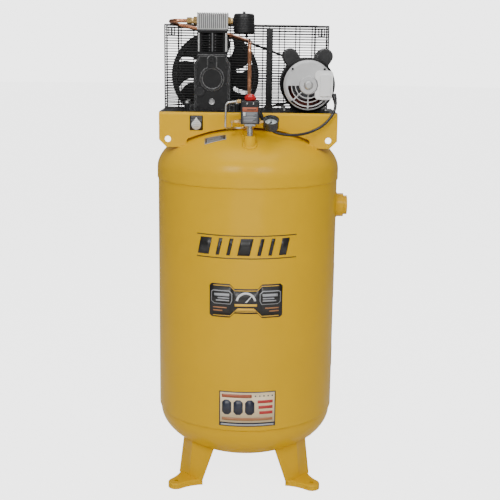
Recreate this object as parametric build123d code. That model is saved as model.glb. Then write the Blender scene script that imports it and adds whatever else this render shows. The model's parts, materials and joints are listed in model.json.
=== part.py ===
from build123d import *
import math
import os

# Belt-driven air compressor: a vertical tank on four pressed legs, with a motor and pump on a
# platform welded across its domed top.  Millimetres, +Z up, front towards -Y.
# The origin is on the floor, on the tank's axis.

# ---- tank ----
TANK_R = 304.8
SHELL_T = 4.8
SHELL_BOTTOM = 234.0
SHELL_TOP = 1064.0
HEAD_DEPTH = 152.0
HEAD_T = 3.2
TOP_TANGENT = 1070.0
TOP_LAP = 1040.0
BOTTOM_TANGENT = 222.0
BOTTOM_FLANGE_TOP = 262.0
PORT_Z = 943.0
PORT_R = 40.0
PORT_STEP_R = 32.5
PORT_BORE_R = 13.3
PORT_PROUD = 24.0
PORT_STEP = 13.0
BUNG_R = 19.0
BUNG_TOP_Z = 1196.0
CHECK_BUNG_TOP_Z = 1208.0
DRAIN_R = 14.0

# ---- legs, measured along each diagonal ----
LEG_T = 6.0
LEG_TOP_Z = 150.0
LEG_JOIN_Z = 14.0
LEG_TOP_RIDGE = 252.0
LEG_TOP_EDGE = 220.0
LEG_TOP_HALF = 78.5
LEG_LOW_RIDGE = 268.0
LEG_LOW_EDGE = 264.0
LEG_LOW_HALF = 56.0
FOOT_PITCH = 462.0
FOOT_H = 20.0
FOOT_R = 27.0
FOOT_HOLE_R = 7.0
SLEEVE_R = 12.0
FOOT_BACK = 256.0
FOOT_WAIST = 6.0

# ---- platform ----
PLAT_TOP = 1263.0
PLAT_HALF_X = 290.0
PLAT_HALF_Y = 140.0
PLAT_T = 4.0
PLAT_BEND = 10.0
SKIRT_BOTTOM = 1149.0
SKIRT_CHAMFER = 24.0
SKIRT_CORNER = 14.0
ARCH_HALF = 200.0
ARCH_END_Z = 1175.0
ARCH_APEX_Z = 1215.0
LIFT_X = 261.0
LIFT_Z = 1175.0
LIFT_R = 10.0

# ---- pump ----
CRANK_X = -120.0
CRANK_Z = 1371.0
CYL_Y = -26.0
BORE_R = 33.0
STROKE = 50.0
ROD_LENGTH = 100.0
CASE_FRONT = -84.0
CASE_BACK = 36.0
CASE_HALF = 58.5
CASE_WALL = 7.0
DECK_HALF = 47.0
DECK_Z = 1446.0
SHOULDER_Z = 1416.0
BORE_TOP_Z = 1522.0
PLATE_T = 4.0
HEAD_TOP_Z = 1579.0
HEAD_HALF = 50.0
PORTS_Z = 1553.0
SHAFT_R = 12.5
WEB_R = 45.0
RUN_GAP = 0.05
SPLIT_GAP = 1.0

# ---- flywheel and drive ----
BELT_Y = 205.0
WHEEL_R = 155.0
WHEEL_PITCH_R = 150.0
PULLEY_R = 65.0
PULLEY_PITCH_R = 60.0
BELT_W = 12.0
BELT_D = 8.0
BELT_GAP = 0.4
RIM_HALF = 15.0
RIM_IN_R = 138.0
SLOTS = 8

# ---- motor ----
MOTOR_X = 193.0
MOTOR_Z = 1352.0
MOTOR_R = 86.0
MOTOR_WALL = 3.0
SHELL_FRONT = -92.0
SHELL_BACK = 86.0
BELL_FRONT = -125.0
BELL_BACK = 116.0
MSHAFT_R = 7.94
HUB_R = 25.0
VENTS = [(30, 40, 180, 315), (43, 53, 180, 315), (56, 66, 180, 315), (70, 76, 225, 315)]
SCREW_CIRCLE_R = 73.0

# ---- guard ----
GUARD_LEFT = -297.0
GUARD_RIGHT = 277.0
GUARD_TOP = 1545.0
GUARD_BOTTOM = 1207.0
GUARD_FRONT = 150.0
GUARD_BACK = 262.0
GUARD_BEVEL = 40.0
GUARD_BEVEL_Y = 232.0
WIRE = 3.0
MESH_X = 59.0
MESH_Z = 9.2

# ---- controls on the dome ----
SWITCH_X = 6.0
SWITCH_Y = -232.0
CHECK_X = 2.0
CHECK_Y = -174.0
MANIFOLD_Z = 1240.0
SWITCH_TOP = 1306.0
SWITCH_APRON_Z = 1235.0
GAUGE_TILT = 58.0
GAUGE_AT = (72.0, -240.0, 1238.0)
RELIEF_Z = 1240.0
TUBE_R = 6.35
UNLOADER_R = 3.175
LEAD_R = 4.5
LEAD_ROUTE = [
    (40, -212, 1258),
    (50, -210, 1240),
    (62, -207, 1221),
    (84, -204, 1206),
    (112, -199, 1198),
    (148, -190, 1196),
    (184, -176, 1200),
    (216, -163, 1211),
    (242, -158, 1226),
    (262, -155, 1246),
    (276, -152, 1268),
    (282, -145, 1290),
    (278, -137, 1311),
]
UNLOADER_ROUTE = [
    (-30, -232, 1304),
    (-70, -232, 1299),
    (-72, -226, 1218),
    (-44, -174, 1215),
    (-16, -174, 1215),
]
DISCHARGE_ROUTE = [
    (-206, -26, PORTS_Z),
    (-262, -26, PORTS_Z),
    (-262, 84, 1546),
    (-60, 84, 1508),
    (CHECK_X, -30, 1488),
    (CHECK_X, CHECK_Y, 1480),
    (CHECK_X, CHECK_Y, 1238),
]

written = []


def save(name, *solids):
    """Write one named sub-part, made of one or more separate solids."""
    shape = solids[0] if len(solids) == 1 else Compound(list(solids))
    export_step(shape, "parts/" + name + ".step")
    written.append(name)


def block(x0, x1, y0, y1, z0, z1):
    """A box between two corners."""
    size = (x1 - x0, y1 - y0, z1 - z0)
    return Pos((x0 + x1) / 2, (y0 + y1) / 2, (z0 + z1) / 2) * Box(*size)


def rod(r, start, direction, length):
    """A round bar from a point, along a direction."""
    return extrude(Plane(origin=start, z_dir=direction) * Circle(r), amount=length)


def ring(r_out, r_in, start, direction, length):
    """A round tube from a point, along a direction."""
    return rod(r_out, start, direction, length) - rod(r_in, start, direction, length)


def hex_bar(across, start, direction, length):
    """A hexagonal bar, sized across its flats."""
    face = RegularPolygon(across / 2, 6, major_radius=False)
    return extrude(Plane(origin=start, z_dir=direction) * face, amount=length)


def bolt(start, direction, across, head, shank_r, shank):
    """A hexagon bolt with its washer face at a point and its head along a direction."""
    back = tuple(-c for c in direction)
    washer = rod(across * 0.66, start, direction, head * 0.22)
    body = hex_bar(across, start, direction, head * 1.2)
    return washer + body + rod(shank_r, start, back, shank)


def turned(profile, x, z):
    """Turn a profile of (radius, y) points about the line through (x, z) along Y."""
    points = [(x + r, y) for r, y in profile]
    face = Plane.XY.offset(z) * make_face(Polyline(*points, close=True))
    return revolve(face, axis=Axis((x, 0, z), (0, 1, 0)))


def upright(profile, x, y):
    """Turn a profile of (radius, z) points about the vertical line through (x, y)."""
    points = [(r, z) for r, z in profile]
    face = Plane.XZ * make_face(Polyline(*points, close=True))
    return Pos(x, y, 0) * revolve(face, axis=Axis.Z)


def ellipsoid(radius, depth, tangent, up):
    """Half of a flattened ellipsoid above or below its tangent plane."""
    arc = EllipticalCenterArc((0, tangent), radius, depth, 0, arc_size=90 * up)
    tip = (0, tangent + up * depth)
    outline = arc + Line((0, tangent), (radius, tangent)) + Line((0, tangent), tip)
    return revolve(Plane.XZ * make_face(outline), axis=Axis.Z)


def corner_radii(points, share=0.45):
    """The arc at each corner of a route, as large as its two runs allow."""
    route = [Vector(*p) for p in points]
    radii = []
    for before, here, after in zip(route, route[1:], route[2:]):
        turn = (here - before).get_angle(after - here)
        shorter = min((here - before).length, (after - here).length)
        radii.append(share * shorter / math.tan(math.radians(turn) / 2))
    return radii


def pipe(points, radius, radii):
    """A round bar along straight runs joined by tangent arcs."""
    path = FilletPolyline(*points, radius=radii)
    start = Plane(origin=path @ 0, z_dir=path % 0)
    return sweep(start * Circle(radius), path=path), path.length


# ======== tank ========
def top_dome():
    return ellipsoid(TANK_R + HEAD_T, HEAD_DEPTH, TOP_TANGENT, 1)


def bottom_dome():
    return ellipsoid(TANK_R - SHELL_T, HEAD_DEPTH, BOTTOM_TANGENT, -1)


def dome_z(x, y):
    """Height of the top dome over a point of the floor."""
    reach = (x * x + y * y) / (TANK_R + HEAD_T) ** 2
    return TOP_TANGENT + HEAD_DEPTH * math.sqrt(1 - reach)


def tank():
    height = SHELL_TOP - SHELL_BOTTOM
    port_hole = rod(PORT_R - 6, (TANK_R - 40, 0, PORT_Z), (1, 0, 0), 80)
    shell = ring(TANK_R, TANK_R - SHELL_T, (0, 0, SHELL_BOTTOM), (0, 0, 1), height) - port_hole
    save("tank_shell", shell)

    outer = TANK_R + HEAD_T
    inner = ellipsoid(TANK_R, HEAD_DEPTH - HEAD_T, TOP_TANGENT, 1)
    skirt = ring(outer, TANK_R, (0, 0, TOP_LAP), (0, 0, 1), TOP_TANGENT - TOP_LAP)
    head = (top_dome() - inner) + skirt
    for x, y in ((SWITCH_X, SWITCH_Y), (CHECK_X, CHECK_Y)):
        head -= rod(BUNG_R - 5, (x, y, TOP_TANGENT), (0, 0, 1), HEAD_DEPTH)
    save("tank_top_head", head)

    radius = TANK_R - SHELL_T
    inner = ellipsoid(radius - HEAD_T, HEAD_DEPTH - HEAD_T, BOTTOM_TANGENT, -1)
    flange = ring(radius, radius - HEAD_T, (0, 0, BOTTOM_TANGENT), (0, 0, 1),
                  BOTTOM_FLANGE_TOP - BOTTOM_TANGENT)
    drain_hole = rod(DRAIN_R - 4, (0, 0, 0), (0, 0, 1), BOTTOM_TANGENT)
    save("tank_bottom_head", (bottom_dome() - inner) + flange - drain_hole)

    reach = TANK_R + PORT_PROUD
    boss = rod(PORT_R, (TANK_R - 20, 0, PORT_Z), (1, 0, 0), reach - TANK_R + 20)
    boss += rod(PORT_STEP_R, (reach, 0, PORT_Z), (1, 0, 0), PORT_STEP)
    boss -= rod(TANK_R, (0, 0, SHELL_BOTTOM), (0, 0, 1), SHELL_TOP - SHELL_BOTTOM)
    boss -= rod(PORT_BORE_R, (TANK_R - 20, 0, PORT_Z), (1, 0, 0), 80)
    save("side_port", boss)


def bungs():
    """Welded threaded sockets: two on the dome and one under the tank."""
    sockets = []
    for x, y, top in ((SWITCH_X, SWITCH_Y, BUNG_TOP_Z), (CHECK_X, CHECK_Y, CHECK_BUNG_TOP_Z)):
        socket = ring(BUNG_R, 8.0, (x, y, TOP_TANGENT), (0, 0, 1), top - TOP_TANGENT)
        sockets.append(socket - top_dome())
    low = BOTTOM_TANGENT - HEAD_DEPTH
    drain = ring(DRAIN_R, 7.0, (0, 0, low - 14), (0, 0, 1), 30) - bottom_dome()
    save("tank_sockets", *sockets, drain)


def drain_valve():
    """A petcock screwed into the socket under the tank, with a turning cross handle."""
    top = BOTTOM_TANGENT - HEAD_DEPTH - 14
    body = rod(6.9, (0, 0, top), (0, 0, 1), 10) + hex_bar(20, (0, 0, top - 16), (0, 0, 1), 16)
    body += rod(7, (0, 0, top - 8), (0, -1, 0), 20) - rod(3, (0, 0, top - 8), (0, -1, 0), 30)
    save("drain_valve", body)
    stem = top - 16.3
    knob = rod(4, (0, 0, stem - 8), (0, 0, 1), 8)
    knob += block(-15, 15, -2.5, 2.5, stem - 16, stem - 6)
    knob += rod(6, (0, 0, stem - 16), (0, 0, 1), 10)
    save("drain_knob", knob)


# ======== legs ========
def leg_section(ridge, edge, half, z):
    """A bent strip across the diagonal, as a closed six-sided outline."""
    outer = [(edge, -half), (ridge, 0), (edge, half)]
    inner = [(u - LEG_T, w) for u, w in reversed(outer)]
    return Plane.XY.offset(z) * make_face(Polyline(*outer, *inner, close=True))


def leg(angle):
    foot_u = FOOT_PITCH / math.sqrt(2)
    high = leg_section(LEG_TOP_RIDGE, LEG_TOP_EDGE, LEG_TOP_HALF, LEG_TOP_Z)
    low = leg_section(LEG_LOW_RIDGE, LEG_LOW_EDGE, LEG_LOW_HALF, LEG_JOIN_Z)
    strip = loft([low, high], ruled=True) - bottom_dome()
    strip = strip.solids().sort_by(Axis.Z)[0]
    strip -= rod(7, (LEG_TOP_RIDGE - 30, 0, 146), (1, 0, 0.1), 60)

    def pad(back, half, radius):
        """The foot's outline, waisted from the leg to its rounded end."""
        waist_u, waist_w = (back + foot_u) / 2, (half + radius) / 2 - FOOT_WAIST
        return make_face(
            Line((back, -half), (back, half))
            + ThreePointArc((back, half), (waist_u, waist_w), (foot_u, radius))
            + ThreePointArc((foot_u, radius), (foot_u + radius, 0), (foot_u, -radius))
            + ThreePointArc((foot_u, -radius), (waist_u, -waist_w), (back, -half))
        )

    top = extrude(pad(FOOT_BACK, LEG_LOW_HALF, FOOT_R), amount=FOOT_H)
    top = fillet(top.edges().group_by(Axis.Z)[-1], 5)
    inside = extrude(pad(FOOT_BACK + LEG_T, LEG_LOW_HALF - LEG_T, FOOT_R - LEG_T),
                     amount=FOOT_H - LEG_T)
    foot = top - inside + rod(SLEEVE_R, (foot_u, 0, 0), (0, 0, 1), FOOT_H - LEG_T)
    foot -= rod(FOOT_HOLE_R, (foot_u, 0, 0), (0, 0, 1), 2 * FOOT_H)
    return Rot(0, 0, angle) * (strip + foot)


def legs():
    save("legs", *[leg(45 + 90 * index) for index in range(4)])


# ======== platform ========
def platform():
    inner_y = PLAT_HALF_Y - PLAT_T
    outer = RectangleRounded(2 * PLAT_HALF_Y, 2 * (PLAT_TOP - SKIRT_BOTTOM), PLAT_BEND)
    inner = RectangleRounded(2 * inner_y, 2 * (PLAT_TOP - PLAT_T - SKIRT_BOTTOM),
                             PLAT_BEND - PLAT_T)
    channel = extrude(Plane.YZ.offset(-PLAT_HALF_X) * Pos(0, SKIRT_BOTTOM) * (outer - inner),
                      amount=2 * PLAT_HALF_X)
    low = SKIRT_BOTTOM
    keep = block(-PLAT_HALF_X, PLAT_HALF_X, -PLAT_HALF_Y, PLAT_HALF_Y, low, PLAT_TOP)
    channel &= keep

    rise = ARCH_APEX_Z - ARCH_END_Z
    arch_r = (ARCH_HALF ** 2 + rise ** 2) / (2 * rise)
    disc = Pos(0, ARCH_APEX_Z - arch_r) * Circle(arch_r)
    window = disc & (Pos(0, ARCH_APEX_Z - 100) * Rectangle(2 * ARCH_HALF, 200))
    window = fillet(window.vertices().group_by(Axis.Y)[-1], 10)
    through = Plane.XZ.offset(-2 * PLAT_HALF_Y) * window
    channel -= extrude(through, amount=4 * PLAT_HALF_Y)
    channel -= top_dome()
    for side in (-1, 1):
        corner = Polyline(
            (side * PLAT_HALF_X, low),
            (side * PLAT_HALF_X, low + SKIRT_CHAMFER),
            (side * (PLAT_HALF_X - SKIRT_CHAMFER), low),
            close=True,
        )
        cut = Plane.XZ.offset(-2 * PLAT_HALF_Y) * make_face(corner)
        channel -= extrude(cut, amount=4 * PLAT_HALF_Y)
        channel -= rod(LIFT_R, (side * LIFT_X, -200, LIFT_Z), (0, 1, 0), 400)
    for x, y in pump_feet() + motor_feet():
        channel -= rod(5.5, (x, y, PLAT_TOP - 20), (0, 0, 1), 40)
    flat_y = PLAT_HALF_Y - PLAT_BEND
    strips = [(-PLAT_HALF_Y, -flat_y), (-flat_y, flat_y), (flat_y, PLAT_HALF_Y)]
    panels = [channel & block(-PLAT_HALF_X, PLAT_HALF_X, *strip, low, PLAT_TOP)
              for strip in strips]
    save("platform", *[panel.solid() for panel in panels])


def pump_feet():
    return [(CRANK_X + dx, y) for dx in (-82, 82) for y in (CASE_FRONT + 12, CASE_BACK - 12)]


def motor_feet():
    return [(MOTOR_X - 6 + dx, y) for dx in (-68, 68) for y in (-62, 62)]


# ======== pump ========
def case_outline(trim):
    """The crankcase's front shape, drawn in by a trim."""
    half = CASE_HALF - trim
    neck = DECK_HALF - trim
    points = [
        (CRANK_X - half, PLAT_TOP + trim),
        (CRANK_X - half, SHOULDER_Z),
        (CRANK_X - neck, SHOULDER_Z + 20),
        (CRANK_X - neck, DECK_Z - trim),
        (CRANK_X + neck, DECK_Z - trim),
        (CRANK_X + neck, SHOULDER_Z + 20),
        (CRANK_X + half, SHOULDER_Z),
        (CRANK_X + half, PLAT_TOP + trim),
    ]
    return make_face(Polyline(*points, close=True))


def rounded_foot(face, radius):
    """Round the two lower corners and the two shoulders of the crankcase's shape."""
    return fillet(face.vertices().sort_by(Axis.Y)[:4], radius)


def along_y(face, y0, y1):
    """Extrude a front-view face between two depths."""
    return extrude(Plane.XZ.offset(-y1) * face, amount=y1 - y0)


def crankcase():
    body = along_y(rounded_foot(case_outline(0), 6), CASE_FRONT, CASE_BACK)
    body -= along_y(case_outline(CASE_WALL), CASE_FRONT, CASE_BACK - CASE_WALL)
    body -= rod(BORE_R + 1, (CRANK_X, CYL_Y, DECK_Z - 40), (0, 0, 1), 60)
    body -= rod(32.5, (CRANK_X, CASE_BACK - 20, CRANK_Z), (0, 1, 0), 40)
    for x, y in pump_feet():
        side = -1 if x < CRANK_X else 1
        inner = CRANK_X + side * (CASE_HALF - 3)
        lug = rod(11, (x, y, PLAT_TOP), (0, 0, 1), 25)
        lug += block(min(x, inner), max(x, inner), y - 6, y + 6, PLAT_TOP, PLAT_TOP + 20)
        body += lug - rod(5.5, (x, y, PLAT_TOP), (0, 0, 1), 40)
    save("crankcase", body)

    front = CASE_FRONT - 5
    plate = along_y(rounded_foot(case_outline(5), 8), front, CASE_FRONT)
    motif = along_y(Pos(CRANK_X, 1368) * Circle(39), front - 5, front)
    neck = Pos(CRANK_X, 1412) * RectangleRounded(30, 62, 13)
    motif += along_y(neck, front - 5, front)
    recess = Pos(CRANK_X, 1368) * Circle(32)
    cover = plate + motif - along_y(recess, front - 5, front - 2)
    cover -= rod(13, (CRANK_X - 40, front - 1, 1326), (0, 1, 0), 20)
    cover -= rod(8.5, (CRANK_X, front - 1, 1294), (0, 1, 0), 20)
    save("crankcase_cover", cover)

    plug = ring(14.5, 9, (CRANK_X - 40, front - 6, 1326), (0, 1, 0), 6)
    plug += rod(9, (CRANK_X - 40, front - 4, 1326), (0, 1, 0), 4)
    plug += rod(12.9, (CRANK_X - 40, front, 1326), (0, 1, 0), 5)
    save("oil_filler_plug", plug)
    glass = rod(9.5, (CRANK_X, front - 3, 1294), (0, 1, 0), 3)
    glass += rod(8.4, (CRANK_X, front, 1294), (0, 1, 0), 8)
    save("oil_sight_glass", glass)


def bearing_carrier():
    back = CASE_BACK
    hub = rod(34, (CRANK_X, back, CRANK_Z), (0, 1, 0), 74)
    flange = rod(52, (CRANK_X, back, CRANK_Z), (0, 1, 0), 9)
    spigot = rod(32.3, (CRANK_X, back - CASE_WALL, CRANK_Z), (0, 1, 0), CASE_WALL)
    carrier = hub + flange + spigot
    for turn in range(6):
        carrier += Pos(CRANK_X, 0, CRANK_Z) * Rot(0, 60 * turn, 0) * block(33, 46, 44, 84, -3, 3)
    carrier -= rod(26, (CRANK_X, back - 20, CRANK_Z), (0, 1, 0), 120)
    save("bearing_carrier", carrier)
    inner = SHAFT_R + RUN_GAP
    races = [ring(26, inner, (CRANK_X, y, CRANK_Z), (0, 1, 0), 15) for y in (34, 90)]
    inner = MSHAFT_R + RUN_GAP
    for y in (BELL_FRONT + 12, BELL_BACK - 20):
        races.append(ring(17.5, inner, (MOTOR_X, y, MOTOR_Z), (0, 1, 0), 11))
    save("bearings", *races)


def crankshaft():
    pin_z = CRANK_Z + STROKE / 2
    rod_back = CYL_Y + 8.5
    web = rod(WEB_R, (CRANK_X, -8, CRANK_Z), (0, 1, 0), 16)
    shaft = rod(SHAFT_R, (CRANK_X, 8, CRANK_Z), (0, 1, 0), 222)
    collar = rod(SHAFT_R + 4, (CRANK_X, 8, CRANK_Z), (0, 1, 0), 22)
    pin = rod(11, (CRANK_X, rod_back + SPLIT_GAP, pin_z), (0, 1, 0), -8 - rod_back - SPLIT_GAP)
    key = block(CRANK_X - 3, CRANK_X + 3, 190, 220, CRANK_Z + 8, CRANK_Z + 15)
    save("crankshaft", web + shaft + collar + pin + key)


def piston_set():
    """Piston, wrist pin and connecting rod at top dead centre."""
    wrist_z = CRANK_Z + STROKE / 2 + ROD_LENGTH
    outer = BORE_R - 0.08
    piston = rod(outer, (CRANK_X, CYL_Y, wrist_z - 25), (0, 0, 1), 49.5)
    piston -= rod(BORE_R - 5, (CRANK_X, CYL_Y, wrist_z - 25), (0, 0, 1), 42)
    pin_bosses = rod(12, (CRANK_X, CYL_Y - 29, wrist_z), (0, 1, 0), 58)
    pin_bosses -= block(CRANK_X - 20, CRANK_X + 20, CYL_Y - 10, CYL_Y + 10, wrist_z - 20,
                        wrist_z + 20)
    piston += pin_bosses
    for offset in (10, 15, 20):
        z = wrist_z + offset
        piston -= ring(outer + 1, outer - 2.5, (CRANK_X, CYL_Y, z), (0, 0, 1), 2)
    piston -= rod(7.5, (CRANK_X, CYL_Y - 40, wrist_z), (0, 1, 0), 80)
    save("piston", piston)
    save("wrist_pin", rod(7.5, (CRANK_X, CYL_Y - 30, wrist_z), (0, 1, 0), 60))

    low = CRANK_Z + STROKE / 2
    front = CYL_Y - 8.5
    small = rod(12, (CRANK_X, front, wrist_z), (0, 1, 0), 17)
    big = rod(19, (CRANK_X, front, low), (0, 1, 0), 17)
    shank = block(CRANK_X - 6, CRANK_X + 6, CYL_Y - 5, CYL_Y + 5, low, wrist_z)
    dipper = block(CRANK_X - 2, CRANK_X + 2, CYL_Y - 3, CYL_Y + 3, low - 38, low)
    link = small + big + shank + dipper
    link -= rod(7.5 + RUN_GAP, (CRANK_X, front, wrist_z), (0, 1, 0), 17)
    link -= rod(11.05, (CRANK_X, front, low), (0, 1, 0), 17)
    save("connecting_rod", link)


def cylinder():
    barrel = rod(BORE_R + 6, (CRANK_X, CYL_Y, DECK_Z), (0, 0, 1), BORE_TOP_Z - DECK_Z)
    half = 45.0
    for z, t, grow in ((DECK_Z, 8, 2), (BORE_TOP_Z - 7, 7, 2)):
        side = half + grow
        barrel += block(CRANK_X - side, CRANK_X + side, CYL_Y - side, CYL_Y + side, z, z + t)
    for index in range(7):
        z = DECK_Z + 12.5 + 7.5 * index
        barrel += block(CRANK_X - half, CRANK_X + half, CYL_Y - half, CYL_Y + half, z, z + 2.6)
    for dx in (-39, 39):
        for dy in (-39, 39):
            barrel += rod(6, (CRANK_X + dx, CYL_Y + dy, DECK_Z), (0, 0, 1), BORE_TOP_Z - DECK_Z)
    barrel -= rod(BORE_R, (CRANK_X, CYL_Y, DECK_Z - 5), (0, 0, 1), 100)
    save("cylinder", barrel)
    side = HEAD_HALF - 1
    plate = block(CRANK_X - side, CRANK_X + side, CYL_Y - side, CYL_Y + side, BORE_TOP_Z,
                  BORE_TOP_Z + PLATE_T)
    for dx, r in ((-16, 5), (16, 7)):
        plate -= rod(r, (CRANK_X + dx, CYL_Y, BORE_TOP_Z - 5), (0, 0, 1), 20)
    save("valve_plate", plate)


def cylinder_head():
    low = BORE_TOP_Z + PLATE_T
    core = HEAD_HALF - 4
    top = HEAD_TOP_Z - 14
    body = block(CRANK_X - core, CRANK_X + core, CYL_Y - core, CYL_Y + core, low, top)
    body += block(CRANK_X - HEAD_HALF, CRANK_X + HEAD_HALF, CYL_Y - HEAD_HALF,
                  CYL_Y + HEAD_HALF, low, low + 6)
    count = 14
    pitch = (2 * HEAD_HALF - 3) / (count - 1)
    for index in range(count):
        x = CRANK_X - HEAD_HALF + pitch * index
        body += block(x, x + 3, CYL_Y - HEAD_HALF, CYL_Y + HEAD_HALF, low, HEAD_TOP_Z)
    for dx in (-20, 20):
        body -= block(CRANK_X + dx - 16, CRANK_X + dx + 16, CYL_Y - 30, CYL_Y + 30, low, low + 22)
    for side in (-1, 1):
        face = CRANK_X + side * HEAD_HALF
        body += rod(14, (face, CYL_Y, PORTS_Z), (-side, 0, 0), 8)
        body -= rod(8, (face, CYL_Y, PORTS_Z), (-side, 0, 0), 30)
        body -= rod(8, (CRANK_X + side * 24, CYL_Y, low + 10), (0, 0, 1), 22)
    save("cylinder_head", body)


def bolts():
    """Cover, carrier and foot bolts of the pump, and the foot and end-bell bolts of the motor."""
    group = []
    for x, y in pump_feet():
        group.append(bolt((x, y, PLAT_TOP + 25), (0, 0, 1), 13, 6, 5.4, 40))
    for dx in (-47, 47):
        for z in (1284, 1352, 1404):
            start = (CRANK_X + dx, CASE_FRONT - 5, z)
            group.append(hex_bar(8, start, (0, -1, 0), 4))
    for turn in range(6):
        angle = math.radians(30 + 60 * turn)
        start = (CRANK_X + 43 * math.cos(angle), CASE_BACK + 9, CRANK_Z + 43 * math.sin(angle))
        group.append(hex_bar(11, start, (0, 1, 0), 6))
    group.append(hex_bar(13, (CRANK_X, CASE_FRONT - 10, 1427), (0, -1, 0), 5))
    for x, y in motor_feet():
        group.append(bolt((x, y, PLAT_TOP + 4), (0, 0, 1), 13, 6, 5.4, 18))
    for x, z in bell_screws():
        group.append(hex_bar(7, (x, BELL_FRONT + 2, z), (0, -1, 0), 5))
    save("bolts", *group)


def air_filter():
    x, z = CRANK_X + HEAD_HALF, PORTS_Z
    fx = -18.0
    port = rod(7.9, (x - 6, CYL_Y, z), (1, 0, 0), 6) + hex_bar(24, (x, CYL_Y, z), (1, 0, 0), 8)
    port += rod(11, (x + 8, CYL_Y, z), (1, 0, 0), 7)
    body = [(0, 1512), (26, 1512), (33, 1517), (34.5, 1523), (34.5, 1567), (33.5, 1574),
            (29, 1578), (5, 1578), (5, 1581), (4, 1585), (0, 1585)]
    can = upright(body, fx, CYL_Y)
    can += rod(4, (fx + 9, CYL_Y, 1501), (0, 0, 1), 16)
    can += rod(12, (x + 15, CYL_Y, z), (1, 0, 0), fx - x - 30)
    save("air_filter", can)

    x = CRANK_X - HEAD_HALF
    nut = hex_bar(24, (x, CYL_Y, z), (-1, 0, 0), 14) + rod(7.9, (x, CYL_Y, z), (1, 0, 0), 8)
    nut += rod(9, (x - 14, CYL_Y, z), (-1, 0, 0), 6)
    nut += hex_bar(20, (x - 20, CYL_Y, z), (-1, 0, 0), 16)
    save("head_fittings", port, nut)


# ======== flywheel, pulley and belt ========
def grooved_rim(r, inner, half, pitch_r, x, z):
    """A rim with a V groove that clears the belt all round."""
    depth = r - (pitch_r - BELT_D / 2 - BELT_GAP - 2)
    wide = BELT_W / 2 + BELT_GAP + (r - pitch_r - BELT_D / 2) * math.tan(math.radians(17))
    narrow = wide - depth * math.tan(math.radians(17))
    mid = BELT_Y
    profile = [
        (inner, mid - half), (r, mid - half), (r, mid - wide), (r - depth, mid - narrow),
        (r - depth, mid + narrow), (r, mid + wide), (r, mid + half), (inner, mid + half),
    ]
    return turned(profile, x, z)


def curved_slot():
    """A narrow curved gap between two fan blades of the flywheel's web."""
    slot = make_face(
        ThreePointArc((78, 10), (110, 20), (RIM_IN_R - 6, 48))
        + Line((RIM_IN_R - 6, 48), (RIM_IN_R - 12, 62))
        + ThreePointArc((RIM_IN_R - 12, 62), (102, 32), (74, 22))
        + Line((74, 22), (78, 10))
    )
    return along_y(slot, BELT_Y - 20, BELT_Y + 20)


def flywheel():
    wheel = grooved_rim(WHEEL_R, RIM_IN_R, RIM_HALF, WHEEL_PITCH_R, CRANK_X, CRANK_Z)
    centre = (CRANK_X, 0, CRANK_Z)
    web = ring(RIM_IN_R + 1, SHAFT_R, (CRANK_X, BELT_Y - 5, CRANK_Z), (0, 1, 0), 10)
    hub = ring(30, SHAFT_R, (CRANK_X, BELT_Y - 17, CRANK_Z), (0, 1, 0), 34)
    slot = curved_slot()
    for index in range(SLOTS):
        web -= Pos(*centre) * Rot(0, 360 / SLOTS * index, 0) * slot
    wheel = wheel + web + hub
    wheel -= block(CRANK_X - 3, CRANK_X + 3, 180, 230, CRANK_Z + 8, CRANK_Z + 15)
    wheel -= rod(SHAFT_R, (CRANK_X, 150, CRANK_Z), (0, 1, 0), 100)
    save("flywheel", wheel)
    nut = hex_bar(24, (CRANK_X, 230, CRANK_Z), (0, 1, 0), 10)
    washer = rod(18, (CRANK_X, BELT_Y + 17, CRANK_Z), (0, 1, 0), 4)
    washer -= rod(SHAFT_R, (CRANK_X, BELT_Y + 10, CRANK_Z), (0, 1, 0), 20)
    nut += ring(15, SHAFT_R, (CRANK_X, BELT_Y + 21, CRANK_Z), (0, 1, 0), 230 - BELT_Y - 21)
    save("flywheel_nut", nut + washer)


def motor_pulley():
    rim = grooved_rim(PULLEY_R, MSHAFT_R, 11, PULLEY_PITCH_R, MOTOR_X, MOTOR_Z)
    hub = ring(22, MSHAFT_R, (MOTOR_X, BELT_Y - 24, MOTOR_Z), (0, 1, 0), 14)
    save("motor_pulley", rim + hub)


def drive_belt():
    """A V belt that lies in both grooves with a small clearance."""
    dx, dz = MOTOR_X - CRANK_X, MOTOR_Z - CRANK_Z
    span = math.hypot(dx, dz)
    lean = math.atan2(dz, dx)
    swing = math.acos((WHEEL_PITCH_R - PULLEY_PITCH_R) / span)

    def at(x, z, r, angle):
        return (x + r * math.cos(angle), z + r * math.sin(angle))

    big_top = at(CRANK_X, CRANK_Z, WHEEL_PITCH_R, lean + swing)
    big_low = at(CRANK_X, CRANK_Z, WHEEL_PITCH_R, lean - swing)
    big_far = at(CRANK_X, CRANK_Z, WHEEL_PITCH_R, lean + math.pi)
    small_top = at(MOTOR_X, MOTOR_Z, PULLEY_PITCH_R, lean + swing)
    small_low = at(MOTOR_X, MOTOR_Z, PULLEY_PITCH_R, lean - swing)
    small_far = at(MOTOR_X, MOTOR_Z, PULLEY_PITCH_R, lean)
    loop = [
        Line(big_top, small_top),
        ThreePointArc(small_top, small_far, small_low),
        Line(small_low, big_low),
        ThreePointArc(big_low, big_far, big_top),
    ]
    edge_plane = Plane.XZ.offset(-BELT_Y)
    path = Wire([edge_plane * edge for edge in loop])
    taper = BELT_D * math.tan(math.radians(17))
    section = make_face(Polyline(
        (-BELT_W / 2, BELT_D / 2), (BELT_W / 2, BELT_D / 2),
        (BELT_W / 2 - taper, -BELT_D / 2), (-BELT_W / 2 + taper, -BELT_D / 2), close=True))
    along = path % 0
    outward = Vector(-along.Z, 0, along.X)
    start = Plane(origin=path @ 0, x_dir=outward.cross(along), z_dir=along)
    belt = sweep(start * section, path=path)
    expected = (BELT_W - taper) * BELT_D * path.length
    print("belt volume over expected:", round(belt.volume / expected, 3))
    save("drive_belt", belt)


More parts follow.
